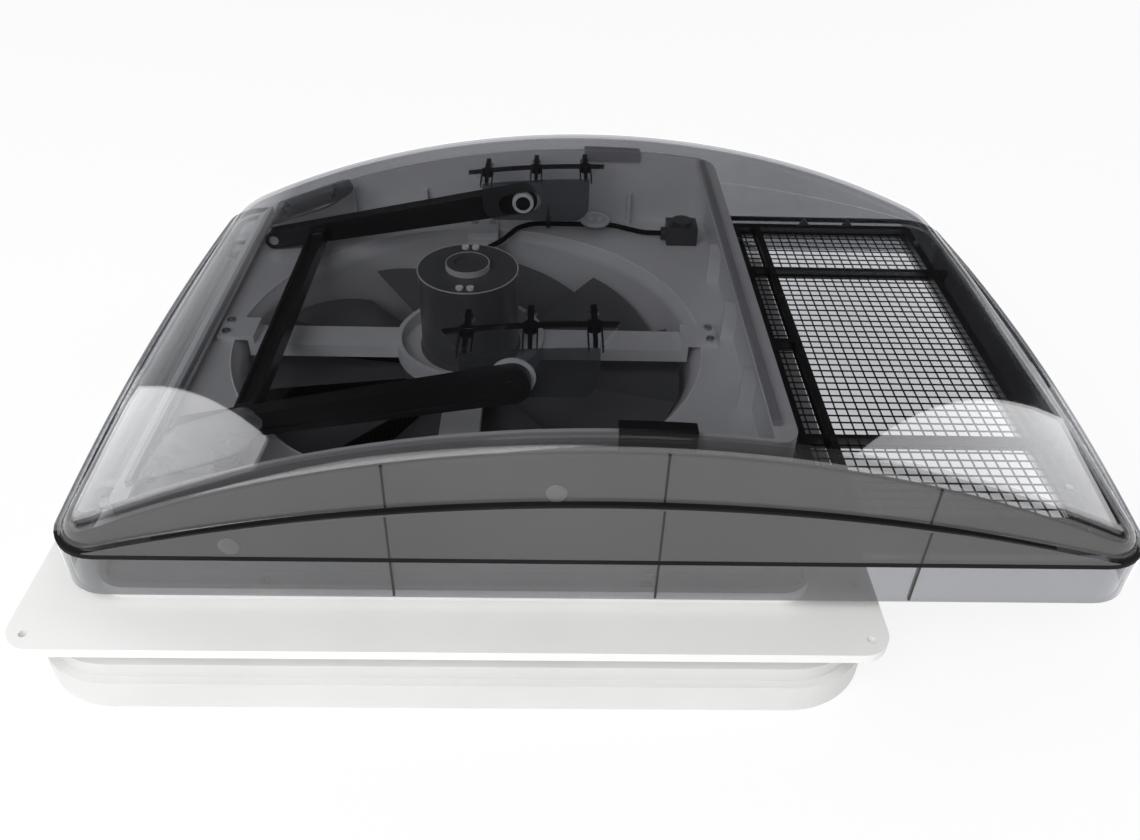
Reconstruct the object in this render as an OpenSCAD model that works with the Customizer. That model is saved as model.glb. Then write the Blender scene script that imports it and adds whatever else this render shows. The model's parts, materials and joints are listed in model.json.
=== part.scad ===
// Caravan roof vent: a fan in a square roof flange under a smoked lid that tilts up on two arms.
// The origin is the centre of the roof opening, on the roof's outer skin.
// +X runs towards the lid's overhanging end, +Y away from the front face, +Z up.

/* [Main sizes] */
// Side of the square roof flange, which the whole vent follows
flange_w = 470; // [425:1:515]
// Length of the lid
lid_l = 592; // [540:1:640]
// Gap between the flange and the ceiling trim, for the roof sheet
roof_t = 2.5; // [2.5:0.5:4]

/* [Flange] */
// Width of the flange outside the roof opening
flange_overhang = 35; // [30:1:45]
// Thickness of the flange plate
flange_t = 6; // [4:0.5:8]
// Plan radius of the flange corners
flange_corner_r = 17; // [8:1:20]
// Distance of the corner screw holes from the flange edge
screw_inset = 10.5; // [8:0.5:14]
// Radius of each corner screw hole
screw_hole_r = 2.5; // [2:0.1:3]
// Height of the upstand round the housing
collar_h = 8; // [5:0.5:9]
// Depth of the neck below the roof skin
neck_h = 22; // [16:1:24]
// Wall of the neck and of the upstand
neck_wall = 3.5; // [2.5:0.5:4]
// Gap between the neck and the roof opening on each side
neck_gap = 4; // [3:0.5:5]

/* [Ceiling trim] */
// Width of the trim outside the roof opening
trim_overhang = 35; // [30:1:40]
// Height of the ceiling trim
trim_h = 39; // [36:0.5:46]
// Plan radius of the trim corners
trim_corner_r = 50; // [40:1:60]
// Width of the visible border under the ceiling
trim_border = 45; // [42:1:48]
// Wall of the trim
trim_wall = 4; // [3:0.5:5]
// Set-back of each moulded step up the trim's side
trim_step = 5; // [3:0.5:6]
// How far the inner panel lies above the trim's lower edge
panel_recess = 10; // [9:0.5:14]
// Thickness of the inner panel
panel_t = 4; // [3:0.5:5]

/* [Housing] */
// Plan radius of the housing corners
base_corner_r = 14; // [12:1:24]
// Housing wall
base_wall = 3; // [2.5:0.5:4]
// Height of the deck round the fan
deck_z = 52; // [46:0.5:58]
// Thickness of the deck
deck_t = 4; // [3:0.5:5]
// Width of the flat top along the housing's end walls
rim_flat = 14; // [12:0.5:16]
// Gap between the housing rim and the inside of the lid
rim_gap = 4.5; // [4:0.5:6]
// Wall of the fan duct
duct_wall = 3; // [2:0.5:3.5]
// How far the duct mouth flares
duct_flare = 7; // [4:0.5:8]

/* [Lid] */
// Width of the lid outside the housing at front and rear
lid_margin = 24; // [22:0.5:28]
// Top of the lid above the deck
dome_h = 67; // [60:0.5:76]
// Lid wall
lid_wall = 3; // [2:0.5:3.5]
// Plan radius of the lid corners
lid_corner_r = 28; // [22:1:34]
// Height of the lid's lower band
band_h = 27; // [24:0.5:30]
// Thickness of the gasket in the joint
gasket_t = 2; // [1.5:0.5:3]
// Top of the crease on the lid's side above the joint
crease_h = 37.5; // [33:0.5:42]
// Set-back of the lid's upper half behind the crease
crease_inset = 4; // [2:0.5:5]
// Radius of the lid's long top edges
edge_r = 9; // [7:0.5:12]

/* [Lid hinge and lift] */
// Radius of the hinge pins
hinge_pin_r = 3; // [2:0.25:3.5]
// Radius of the bush in each lid bracket
bush_r = 8; // [7:0.5:9]
// Thickness of each arm
arm_t = 10; // [8:0.5:11]
// Radius of the arm's pivot end
arm_r0 = 7; // [6:0.25:8]
// Radius of the arm's bush end
arm_r1 = 10.5; // [9.5:0.25:12]
// Radius of the pivot pins
pivot_pin_r = 3.5; // [3:0.25:4]
// Thickness of each bracket plate
bracket_t = 2.5; // [2:0.25:3]
// Pitch of the worm
worm_pitch = 4; // [3.6:0.1:4.4]
// Pitch radius of the toothed sector
sector_r = 26; // [24:0.5:28]

/* [Fan and motor] */
// Fan axis along X
fan_x = -4; // [-5:0.5:-3]
// Blades on the fan
blade_count = 10; // [6:1:10]
// Width of a blade at the hub
blade_root = 26; // [20:1:26]
// Width of a blade past its tip, before it is cut round
blade_tip = 90; // [70:1:92]
// Pitch angle of a blade
blade_angle = 16; // [12:1:16]
// Radius of the fan hub
hub_r = 46; // [42:1:52]
// Radius of the motor can
motor_r = 32.75; // [30:0.25:36]
// Outer radius of the motor cup
cup_r = 50; // [46:0.5:55]
// Width of each spider arm
spider_w = 24; // [18:1:26]

/* [Outlet grille] */
// Height of the grille frame
grille_h = 8; // [6:0.5:9]
// Width of each grille bar
grille_bar = 6; // [5:0.5:7]
// Gaps of the grille mesh along X
mesh_nx = 10; // [8:1:10]
// Gaps of the grille mesh along Y
mesh_ny = 25; // [20:1:25]

/* [Ceiling side] */
// Pitch of the insect screen's wires
net_pitch = 18; // [17:0.5:22]
// Wire of both nets
net_wire = 1.2; // [0.8:0.1:1.6]
// Distance between the buttons
button_pitch = 21; // [19:0.5:23]
// Length of a button
button_l = 13; // [10:0.5:14]
// Width of a button
button_w = 8; // [6:0.5:9]
// Radius of the motor cable
cable_r = 2; // [1.5:0.1:2.2]

/* [Hidden] */
$fn = 72;
round_fn = 360;
eps = 0.5;
running_gap = 0.05;
free_gap = 0.3;
slip_gap = 0.5;

// Roof flange and ceiling side
roof_opening = flange_w - 2 * flange_overhang;
opening_half = roof_opening / 2;
neck_out = opening_half - neck_gap;
ledge_w = 10;
collar_in = neck_out - slip_gap;
foot_half = collar_in - slip_gap;
plan_r = 20;
screw_at = flange_w / 2 - screw_inset;
trim_w = roof_opening + 2 * trim_overhang;
trim_top = -roof_t;
trim_z = trim_top - trim_h;
step_h = trim_h / 4;
lip_half = trim_w / 2 - trim_border;
panel_z = trim_z + panel_recess;
panel_half = lip_half + trim_wall + 1.5;
boss_r = 6;
clamp_at = neck_out - boss_r - ledge_w;
clamp_r = 2;
clamp_depth = neck_h - 6;

// Housing, centred on the fan
base_l = roof_opening - 34;
base_w = roof_opening - 38;
base_x0 = fan_x - base_l / 2;
base_x1 = fan_x + base_l / 2;
duct_r = opening_half - 50;
duct_z = panel_z + panel_t + free_gap;
screen_r = duct_r + 16;
flare_r = duct_r + duct_flare;
foot_t = 3;
shelf_z = 20;
shelf_t = 4;
base_screw_head = 3.5;
base_screw_at = foot_half - base_screw_head - 0.2;
function base_screw_xy() = [for (s = [-1, 1], t = [-0.55, 0.55]) each [
    [s * base_screw_at, t * base_screw_at], [t * base_screw_at, s * base_screw_at]]];

// Lid, arched from its ends to its top
joint_z = deck_z - 9;
band_top = joint_z - gasket_t / 2;
band_z = band_top - band_h;
dome_z = joint_z + gasket_t / 2;
lid_end_z = deck_z - 3;
lid_top_z = deck_z + dome_h;
lid_x0 = base_x0 - 27.4;
lid_x1 = lid_x0 + lid_l;
lid_cx = (lid_x0 + lid_x1) / 2;
lid_w = base_w + 2 * lid_margin;
lid_rise = lid_top_z - lid_end_z;
arch_r = (lid_l * lid_l / 4 + lid_rise * lid_rise) / (2 * lid_rise);
arch_cz = lid_top_z - arch_r;
lid_in_r = arch_r - lid_wall;
rim_r = lid_in_r - rim_gap;
crease_reach = lid_l / 2 - 18;
crease_r = (crease_reach * crease_reach + crease_h * crease_h) / (2 * crease_h);
crease_z = dome_z + crease_h;
joint_w = 10;
joint_t = 2.5;
function arch_z(x, r) = arch_cz + sqrt(r * r - (x - lid_cx) * (x - lid_cx));

// Rubber rests and seals on the housing rim
pad_l = 40;
pad_x = lid_cx + 3;
pad_drop = 16;
pad_t = 9;
seal_w = 4;

// Hinge at the lid's low end
hinge_x = base_x0 - 12;
hinge_z = joint_z - 9;
lug_y = base_w / 2 - 41;
lug_t = 6;
ear_y = lug_y + lug_t + slip_gap;
lug_r = hinge_pin_r + 3;

// Lift arms between the housing's posts and the lid's brackets
pivot_x = base_x0 + 25;
pivot_z = arch_z(pivot_x, lid_in_r) - arm_r0 - 2.2;
bush_x = fan_x + 33;
bush_z = arch_z(bush_x, lid_in_r) - 17;
arm_y = base_w / 2 - 61;
arm_in = arm_y - arm_t / 2;
arm_out = arm_y + arm_t / 2;
arm_angle = atan2(bush_z - pivot_z, bush_x - pivot_x);
arm_recess = 1.5;
crossbar_x = pivot_x + 36;
crossbar_w = 13;
crossbar_h = 9;
groove_end = 8;
groove_d = 2;
groove_side = 2.5;
plate_y = arm_in - 1.5 - bracket_t;
slot_gap = 0.4;
slot_left = 10;
slot_right = 5;
bracket_x0 = bush_x - 30;
bracket_x1 = bush_x + 49;
bracket_mid = (bracket_x0 + bracket_x1) / 2;
bracket_z = bush_z - bush_r - 6;
bracket_at = [-plate_y - bracket_t, plate_y];
flange_run = 29;
flange_skew = 12;
rib_run = 50;
rib_h = 5;
rib_w = 3;
rib_step = 37;
rib_boss_r = 5;
pilot_r = 1.25;
post_t = 5;
post_r = pivot_pin_r + 2.25;
post_y = arm_out + 3;

// Worm drive in the front corner
sector_y = base_w / 2 - 36;
sector_t = 4;
worm_core = 4.2;
worm_out = 7.4;
worm_mid = 6;
worm_x = pivot_x + sector_r + worm_mid;
worm_y = -sector_y;
worm_turns = 6;
thread_fn = 20;
worm_len = worm_turns * worm_pitch + 4;
shaft_r = 4;
knob_gap = 6;
knob_r = norm([worm_x - fan_x, worm_y]) - screen_r - knob_gap;
tooth_step = worm_pitch / sector_r * 180 / PI;
tooth_first = -5;
tooth_last = 2;
tooth_tip = sector_r + 1.3;

// Plates under the lid's hinge corners
corner_x0 = pivot_x - 8;
corner_x1 = pivot_x + 48;
corner_y0 = base_w / 2 - 32.5;
corner_w = 26;
corner_t = 2.5;
corner_screw_in = 7;
corner_screw_drop = corner_t + 1.4;

// Fan, motor and its carrier
fan_r = duct_r - 5;
cup_z = deck_z - 12;
cup_floor = 3;
cup_wall = 3.5;
cup_h = 12;
motor_z = cup_z + cup_floor;
motor_top_z = arch_z(fan_x, lid_in_r) - 7.4;
motor_cap_t = 3;
beam_z = deck_z - 3;
foot_out = flare_r + 11;
foot_screw_y = 7;
fan_shaft_r = 4;
fan_hub_h = 26;
fan_mid = cup_z - 18;
fan_z = fan_mid - fan_hub_h / 2;
blade_t = 2.5;
blade_sink = 4;
blade_l = fan_r - hub_r + blade_sink + 6;

// Cable over the rear spider arm, round the duct mouth and along the rear wall to its entry block
cable_z = deck_z + 3.5;
run_y = base_w / 2 - 19;
turn_y = duct_r - 36;
gland_x = base_x1 - 41;
gland_y = run_y - 18;
gland_z = cable_z + 2.5;
clip_x = gland_x - 52;
drop_y = motor_r + 42;
run_x0 = fan_x + 50;
tie_x = run_x0 + 2;
run_x1 = gland_x - 48;
cable_path = concat(
    [for (p = [[0, 18], [4, 18], [10, 17], [17, 13], [24, 8], [32, 4]])
        [fan_x, motor_r + p[0], deck_z + p[1]]],
    [for (f = [0:1/3:1]) [fan_x, drop_y + f * (turn_y - drop_y), deck_z + 1.5 * (1 - f)]],
    [for (p = [[2, 7, 0], [8, 15, 0], [15, 22, 0.6], [21, 30, 2], [27, 38, 3.5], [34, 44, 3.5],
        [42, 47.5, 3.5]])
        [fan_x + p[0], turn_y + p[1], deck_z + p[2]]],
    [for (f = [0:0.25:1]) [run_x0 + f * (run_x1 - run_x0), run_y, cable_z]],
    [for (p = [[-38, 1, 0], [-29, 5, 0], [-21, 11, 1], [-14, 16, 2], [-7, 18, 2.5], [3, 18, 2.5]])
        [gland_x + p[0], run_y - p[1], cable_z + p[2]]]);

// Outlet grille in the overhang
grille_x0 = base_x1 + 21;
grille_x1 = lid_x1 - 27.6;
grille_w = lid_w - 50;
grille_rail_x = grille_x0 + 19;
grille_cross_y = 0.29 * grille_w;
mesh_in = 4;
mesh_z = band_top + 2;
function grille_screw_xy() = [for (x = [grille_x0 + 2.2, grille_x1 - 2.2], s = [-1, 1])
    [x, s * (grille_w / 2 - 30)]];

// Insect screen, its latches and the controls
screen_in = duct_r;
screen_t = 3;
net_half = ceil(screen_in / net_pitch);
latch_r = screen_r + 10;
latch_hub_r = 6;
latch_l = 18;
latch_w = 7;
buttons_x = lip_half - 100;
buttons_y = -lip_half + 12;
button_count = 4;
board_z = panel_z + 8;
board_t = 1.6;
button_gap = 0.3;
window_l = button_pitch * (button_count - 1) + button_l + 8;
window_w = button_w + 6;
function button_x(i) = buttons_x + (i - (button_count - 1) / 2) * button_pitch;

// Shared shapes
module round_rect(x0, x1, w, r) {
    translate([x0 + r, -w / 2]) square([x1 - x0 - 2 * r, w]);
    translate([x0, -w / 2 + r]) square([x1 - x0, w - 2 * r]);
    for (x = [x0 + r, x1 - r], y = [r - w / 2, w / 2 - r]) translate([x, y]) circle(r);
}
module slab(x0, x1, w, r, z0, z1) {
    translate([0, 0, z0]) linear_extrude(z1 - z0) round_rect(x0, x1, w, r);
}
module square_slab(half, r, z0, z1) slab(-half, half, 2 * half, r, z0, z1);
module square_ring(half, t, r, z0, z1) {
    difference() {
        square_slab(half, r, z0, z1);
        square_slab(half - t, max(r - t, 1), z0 - 1, z1 + 1);
    }
}
module lid_ring(inset, t, z0, z1) {
    difference() {
        lid_slab(inset, z0, z1);
        lid_slab(inset + t, z0 - 1, z1 + 1);
    }
}
module lid_slab(inset, z0, z1) {
    slab(lid_x0 + inset, lid_x1 - inset, lid_w - 2 * inset, lid_corner_r - inset, z0, z1);
}
module arch(r) {
    translate([lid_cx, 0, arch_cz]) rotate([90, 0, 0])
        cylinder(r = r, h = 2 * lid_w, center = true, $fn = round_fn);
}
module arch_band(r0, r1) {
    difference() {
        arch(r1);
        arch(r0);
    }
}
module arch_bar(r, w, e) {
    depth = 160;
    translate([lid_cx, 0, arch_cz]) rotate([90, 0, 0]) rotate_extrude($fn = round_fn) {
        translate([r - depth, -w / 2]) square([depth - e, w]);
        translate([r - depth, e - w / 2]) square([depth, w - 2 * e]);
        for (y = [e - w / 2, w / 2 - e]) translate([r - e, y]) circle(e);
    }
}
module upright(y, t) {
    translate([0, y + t, 0]) rotate([90, 0, 0]) linear_extrude(t) children();
}
function arc_points(c, r, a0, a1, n) = [for (i = [0:n]) let (a = a0 + (a1 - a0) * i / n)
    c + r * [cos(a), sin(a)]];
module link_2d(p, r0, q, r1) {
    d = norm(q - p);
    turn = atan2(q[1] - p[1], q[0] - p[0]);
    a = acos((r0 - r1) / d);
    translate(p) rotate(turn)
        polygon(concat(arc_points([d, 0], r1, -a, a, 18), arc_points([0, 0], r0, a, 360 - a, 18)));
}
module rod(p, r, h) translate(p) cylinder(r = r, h = h);
module cross_rod(x, y0, y1, z, r) {
    translate([x, y0, z]) rotate([-90, 0, 0]) cylinder(r = r, h = y1 - y0);
}
module screw(p, head_r, head_h, shank_r, shank_l) {
    translate(p) {
        difference() {
            cylinder(r = head_r, h = head_h);
            translate([0, 0, head_h - 0.8]) for (a = [0, 90]) rotate(a)
                translate([-head_r * 0.6, -0.5, 0]) cube([head_r * 1.2, 1, 2]);
        }
        translate([0, 0, -shank_l]) cylinder(r = shank_r, h = shank_l + 0.2);
    }
}
module four_corners(at) for (x = [-at, at], y = [-at, at]) translate([x, y, 0]) children();

// Roof flange with its upstand, neck and clamp bosses
module roof_flange() color("white") difference() {
    union() {
        square_slab(flange_w / 2, flange_corner_r, 0, flange_t);
        square_ring(collar_in + neck_wall, neck_wall, plan_r, flange_t - eps, flange_t + collar_h);
        square_ring(neck_out, neck_wall, plan_r, -neck_h, eps);
        four_corners(clamp_at) rod([0, 0, -neck_h], boss_r, neck_h + eps);
    }
    square_slab(neck_out - ledge_w, plan_r, -eps, flange_t + 1);
    four_corners(screw_at) rod([0, 0, -1], screw_hole_r, flange_t + 2);
    four_corners(clamp_at) rod([0, 0, -neck_h - 1], clamp_r, clamp_depth + 1);
    for (p = base_screw_xy()) rod([p[0], p[1], 1], clamp_r, flange_t);
}

// Stepped ceiling trim with a border and a seat for the inner panel
module ceiling_trim() color("white") {
    difference() {
        union() {
            square_slab(trim_w / 2, trim_corner_r, trim_z, trim_top - 2 * step_h);
            square_slab(trim_w / 2 - trim_step, trim_corner_r - trim_step, trim_z + 1, trim_top - step_h);
            square_slab(trim_w / 2 - 2 * trim_step, trim_corner_r - 2 * trim_step, trim_z + 1, trim_top);
        }
        square_slab(trim_w / 2 - trim_wall - 2 * trim_step, trim_corner_r - trim_wall - 2 * trim_step,
            trim_z + trim_wall, trim_top + 1);
        square_slab(lip_half, plan_r, trim_z - 1, trim_z + trim_wall + 1);
    }
    square_ring(lip_half + trim_wall, trim_wall, plan_r, trim_z + eps, panel_z);
}

// Flat panel that closes the ceiling side round the duct
module inner_panel() color("white") difference() {
    square_slab(panel_half, plan_r, panel_z, panel_z + panel_t);
    rod([fan_x, 0, panel_z - 1], duct_r + 2, panel_t + 2);
    four_corners(clamp_at) rod([0, 0, panel_z - 1], clamp_r + free_gap, panel_t + 2);
    rod([worm_x, worm_y, panel_z - 1], shaft_r + running_gap, panel_t + 2);
    for (i = [0:3]) rotate_latch(i) rod([0, 0, panel_z - 1], clamp_r + running_gap, panel_t + 2);
    translate([buttons_x - window_l / 2, buttons_y - window_w / 2, panel_z - 1])
        cube([window_l, window_w, panel_t + 2]);
}

// Screws that pull the inner panel up to the flange's bosses
module clamp_screws() color("silver") four_corners(clamp_at) translate([0, 0, panel_z]) mirror([0, 0, 1])
    screw([0, 0, 0], 4, 3, clamp_r, clamp_depth - neck_h - panel_z - 2);

// Housing: arched walls, deck, flared duct, arm posts and hinge lugs
module base_housing() color("gainsboro") difference() {
    union() {
        intersection() {
            base_slab(0, flange_t, lid_top_z);
            arch(rim_r);
        }
        square_slab(foot_half, plan_r, flange_t, flange_t + foot_t);
        rod([fan_x, 0, duct_z], duct_r + duct_wall, deck_z - duct_z);
        for (s = [-1, 1]) {
            upright(s * (lug_y + lug_t / 2) - lug_t / 2, lug_t) {
                translate([hinge_x, hinge_z]) circle(lug_r);
                translate([hinge_x, hinge_z - lug_r]) square([base_x0 - hinge_x + 1, 2 * lug_r]);
            }
        }
    }
    difference() {
        base_cavity();
        base_inner_parts();
    }
    rod([fan_x, 0, duct_z - 1], duct_r, lid_top_z);
    translate([fan_x, 0, deck_z - 10]) cylinder(r1 = duct_r, r2 = flare_r, h = 10);
    rod([fan_x, 0, deck_z], flare_r, eps);
    for (s = [-1, 1]) {
        cross_rod(hinge_x, s * (lug_y + lug_t / 2) - lug_t, s * (lug_y + lug_t / 2) + lug_t, hinge_z,
            hinge_pin_r + running_gap);
        cross_rod(pivot_x, s * (post_y + post_t / 2) - post_t, s * (post_y + post_t / 2) + post_t, pivot_z,
            pivot_pin_r + running_gap);
    }
    rod([worm_x, worm_y, shelf_z - 1], shaft_r + running_gap, shelf_t + 2);
    rod([worm_x, worm_y, deck_z - deck_t - 1], worm_out + 1.5, deck_t + 2);
    translate([pivot_x - 2, worm_y - sector_t / 2 - 1.5, deck_z - deck_t - 1])
        cube([worm_x - pivot_x, sector_t + 3, deck_t + 2]);
    for (p = base_screw_xy()) rod([p[0], p[1], flange_t - 1], clamp_r, foot_t + 2);
}
module base_slab(inset, z0, z1) {
    slab(base_x0 + inset, base_x1 - inset, base_w - 2 * inset, base_corner_r - inset, z0, z1);
}
module base_cavity() difference() {
    base_slab(base_wall, flange_t - 1, lid_top_z + 1);
    rod([fan_x, 0, duct_z], duct_r + duct_wall, deck_z - duct_z);
}
module base_inner_parts() {
    base_slab(0, deck_z - deck_t, deck_z);
    rod([fan_x, 0, deck_z - 16], flare_r + duct_wall, 16);
    intersection() {
        arch_band(rim_r - base_wall, rim_r);
        union() {
            translate([base_x0, -base_w, 0]) cube([rim_flat, 2 * base_w, lid_top_z]);
            translate([base_x1 - rim_flat, -base_w, 0]) cube([rim_flat, 2 * base_w, lid_top_z]);
        }
    }
    for (s = [-1, 1]) upright(s * (post_y + post_t / 2) - post_t / 2, post_t) {
        translate([pivot_x, pivot_z]) circle(post_r);
        translate([pivot_x - post_r, deck_z - eps]) square([2 * post_r, pivot_z - deck_z + eps]);
    }
    translate([base_x0, -base_w / 2, shelf_z])
        cube([worm_x + 10 - base_x0, base_w / 2 + worm_y + 10, shelf_t]);
    for (f = [-0.22, 0, 0.22]) translate([base_x1 - 12, f * base_w - 1.5, deck_z - eps]) cube([12, 3, 30]);
    for (f = [-0.3, -0.14, 0.31])
        translate([f * base_l - 1.5, base_w / 2 - 9, deck_z - eps]) cube([3, 9, 26]);
}

// Screws that hold the housing's foot to the flange
module base_screws() color("silver") for (p = base_screw_xy())
    screw([p[0], p[1], flange_t + foot_t], base_screw_head, 2.6, clamp_r, flange_t + foot_t - 2);

// Seals along the flat tops of the housing's end walls
module rim_seals() color("black") intersection() {
    arch_band(rim_r, lid_in_r - free_gap);
    base_slab(4, 0, lid_top_z);
    union() for (x = [base_x0 + rim_flat - seal_w - 1, base_x1 - rim_flat + 1])
        translate([x, base_corner_r - base_w / 2, 0]) cube([seal_w, base_w - 2 * base_corner_r, lid_top_z]);
}

// Rubber rests for the closed lid, slotted over the front and rear walls
module rest_pads() color("black") difference() {
    intersection() {
        union() for (s = [-1, 1])
            translate([pad_x, s * (base_w - base_wall) / 2 - pad_t / 2, arch_z(pad_x, rim_r) - pad_drop + 5])
                cube([pad_l, pad_t, pad_drop + 10]);
        arch(lid_in_r - slip_gap);
    }
    difference() {
        intersection() {
            base_slab(0, flange_t, lid_top_z);
            arch(rim_r);
        }
        base_slab(base_wall, 0, lid_top_z + 1);
    }
}

// Four-armed carrier with the motor's cup
module motor_spider() color("silver") translate([fan_x, 0, 0]) {
    difference() {
        union() {
            rod([0, 0, cup_z], cup_r, cup_h);
            for (a = [0:90:270]) rotate(a) {
                translate([cup_r - 5, -spider_w / 2, cup_z])
                    cube([duct_r - 2 - cup_r + 5, spider_w, beam_z - cup_z]);
                translate([duct_r - 6, -spider_w / 2, cup_z]) cube([4, spider_w, deck_z + 3 - cup_z]);
                translate([duct_r - 6, -spider_w / 2, deck_z]) cube([foot_out - duct_r + 6, spider_w, 3]);
            }
        }
        rod([0, 0, motor_z], cup_r - cup_wall, 40);
        rod([0, 0, cup_z - 1], fan_shaft_r + 2, cup_floor + 2);
        for (a = [0:90:270]) rotate(a) {
            for (y = [-foot_screw_y, foot_screw_y]) rod([foot_out - 5, y, deck_z - 1], 1.5, 6);
            translate([cup_r + 4, 3 - spider_w / 2, cup_z - 1])
                cube([duct_r - cup_r - 16, spider_w - 6, beam_z - cup_z - 1]);
        }
    }
}

// Screws through the carrier's feet
module spider_screws() color("silver") translate([fan_x, 0, 0]) for (a = [0:90:270], s = [-1, 1]) rotate(a)
    screw([foot_out - 5, s * foot_screw_y, deck_z + 3], 2.8, 1.8, 1.5, 3);

// Motor can with a bore for the fan shaft
module motor_can() color("black") translate([fan_x, 0, 0]) difference() {
    union() {
        rod([0, 0, motor_z], motor_r, motor_top_z - motor_cap_t - motor_z);
        rod([0, 0, motor_z], motor_r + 1.2, 4);
    }
    rod([0, 0, motor_z - 1], fan_shaft_r + running_gap, 24);
}

// Motor end cap with its raised middle
module motor_cap() color("black") translate([fan_x, 0, 0]) difference() {
    union() {
        rod([0, 0, motor_top_z - motor_cap_t], motor_r, motor_cap_t);
        rod([0, 0, motor_top_z - 1], 14, 5);
    }
    rod([0, 0, motor_top_z + 2.5], 9, 3);
    for (p = motor_screw_xy()) rod([p[0], p[1], motor_top_z - 4], 1.2, 8);
}
function motor_screw_xy() = [for (x = [-3.4, 3.4], y = [-1, 1]) [x, y * (motor_r - 5.5)]];
module motor_screws() color("gold") translate([fan_x, 0, 0]) for (p = motor_screw_xy())
    screw([p[0], p[1], motor_top_z], 2.4, 1.6, 1.2, motor_cap_t);

// Motor cable swept along its route
function unit(v) = v / norm(v);
function along(path, i) = unit(path[min(i + 1, len(path) - 1)] - path[max(i - 1, 0)]);
function ring_at(path, i, r, n) = let (t = along(path, i), u = unit(cross(t, [0, 0, 1])), v = cross(u, t))
    [for (k = [0:n - 1]) path[i] + r * (cos(360 * k / n) * u + sin(360 * k / n) * v)];
module tube(path, r, n) {
    m = len(path);
    points = [for (i = [0:m - 1]) each ring_at(path, i, r, n)];
    sides = [for (i = [0:m - 2], k = [0:n - 1]) let (a = i * n + k, b = i * n + (k + 1) % n)
        each [[a, b, b + n], [a, b + n, a + n]]];
    caps = [for (k = [1:n - 2]) each [[0, k + 1, k], [(m - 1) * n, (m - 1) * n + k, (m - 1) * n + k + 1]]];
    polyhedron(points = points, faces = concat(sides, caps));
}
module motor_cable() color("black") tube(cable_path, cable_r, 8);

// Tie round the cable behind the motor
module cable_tie() color("black") translate([tie_x, run_y, cable_z]) {
    rotate([0, 90, 0]) difference() {
        cylinder(r = cable_r + 1.3, h = 3.2, center = true);
        cylinder(r = cable_r + 0.15, h = 5, center = true);
    }
    translate([-2, -2.2, cable_r + 0.9]) cube([4, 4.4, 3]);
    translate([-0.8, 1, cable_r + 3]) cube([1.6, 1.2, 9]);
}

// Round clear cable clip on a post
module cable_clip() color("lightgray") {
    under = cable_z + cable_r + 0.4;
    rod([clip_x, run_y + 7.5, deck_z], 2.5, under - deck_z + 1);
    rod([clip_x, run_y + 1, under], 12, 2);
}

// Cable entry block with its round collar
module cable_gland() color("dimgray") difference() {
    union() {
        translate([gland_x + 4, gland_y - 10, deck_z]) cube([24, 20, 15]);
        translate([gland_x, gland_y, gland_z]) rotate([0, 90, 0]) cylinder(r = 5, h = 6);
        translate([gland_x + 16, gland_y, deck_z + 14]) cylinder(r = 8, h = 4);
    }
    translate([gland_x - 1, gland_y, gland_z]) rotate([0, 90, 0]) cylinder(r = cable_r + 0.1, h = 4);
}

// Fan: dished hub, broad tilted blades and a bore for the shaft
module fan_blade() rotate([blade_angle, 0, 0]) translate([0, 0, -blade_t / 2]) linear_extrude(blade_t)
    polygon([[0, -blade_root / 2], [blade_l, -blade_tip / 2], [blade_l, blade_tip / 2], [0, blade_root / 2]]);
module fan_rotor() color("dimgray") translate([fan_x, 0, 0]) difference() {
    union() {
        rod([0, 0, fan_z], hub_r, fan_hub_h);
        intersection() {
            union() for (i = [0:blade_count - 1]) rotate(i * 360 / blade_count)
                translate([hub_r - blade_sink, 0, fan_mid]) fan_blade();
            rod([0, 0, fan_z - 20], fan_r, fan_hub_h + 40);
        }
    }
    rod([0, 0, fan_z - 1], hub_r - 3, fan_hub_h - 3);
    rod([0, 0, fan_z - 1], fan_shaft_r, fan_hub_h + 4);
}
module fan_shaft() color("silver") rod([fan_x, 0, fan_z - 2], fan_shaft_r, motor_z + 20 - fan_z);
module fan_nut() color("silver") translate([fan_x, 0, fan_z + fan_hub_h - 12]) difference() {
    cylinder(r = 9, h = 8, $fn = 6);
    rod([0, 0, -1], fan_shaft_r, 12);
}

// Smoked lid: arched dome with a crease along its sides, a joint flange and screw bosses
module dome_body(wall) {
    intersection() {
        lid_slab(wall, dome_z - (wall > 0 ? 1 : 0), lid_top_z);
        translate([lid_cx, 0, crease_z - crease_r]) rotate([90, 0, 0])
            cylinder(r = crease_r - wall, h = 2 * lid_w, center = true, $fn = round_fn);
    }
    intersection() {
        lid_slab(crease_inset + wall, dome_z - (wall > 0 ? 1 : 0), lid_top_z + 1);
        arch_bar(arch_r - wall, lid_w - 2 * crease_inset - 2 * wall, edge_r - wall);
    }
}
module lid_dome() color([0.2, 0.2, 0.22, 0.6]) difference() {
    union() {
        difference() {
            dome_body(0);
            dome_body(lid_wall);
        }
        lid_ring(0, joint_w, dome_z, dome_z + joint_t);
        intersection() {
            arch(lid_in_r + 1);
            union() for (p = rib_pads())
                rod([p[0], p[1], arch_z(p[0], lid_in_r) - rib_h - 0.5], rib_boss_r, 20);
        }
    }
    for (p = rib_pads()) rod([p[0], p[1], arch_z(p[0], lid_in_r) - rib_h - 2], pilot_r, rib_h + 1);
}
function rib_pads() = [for (y = bracket_at, k = [-1:1]) [bracket_mid + k * rib_step, y + rib_run]];

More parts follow.
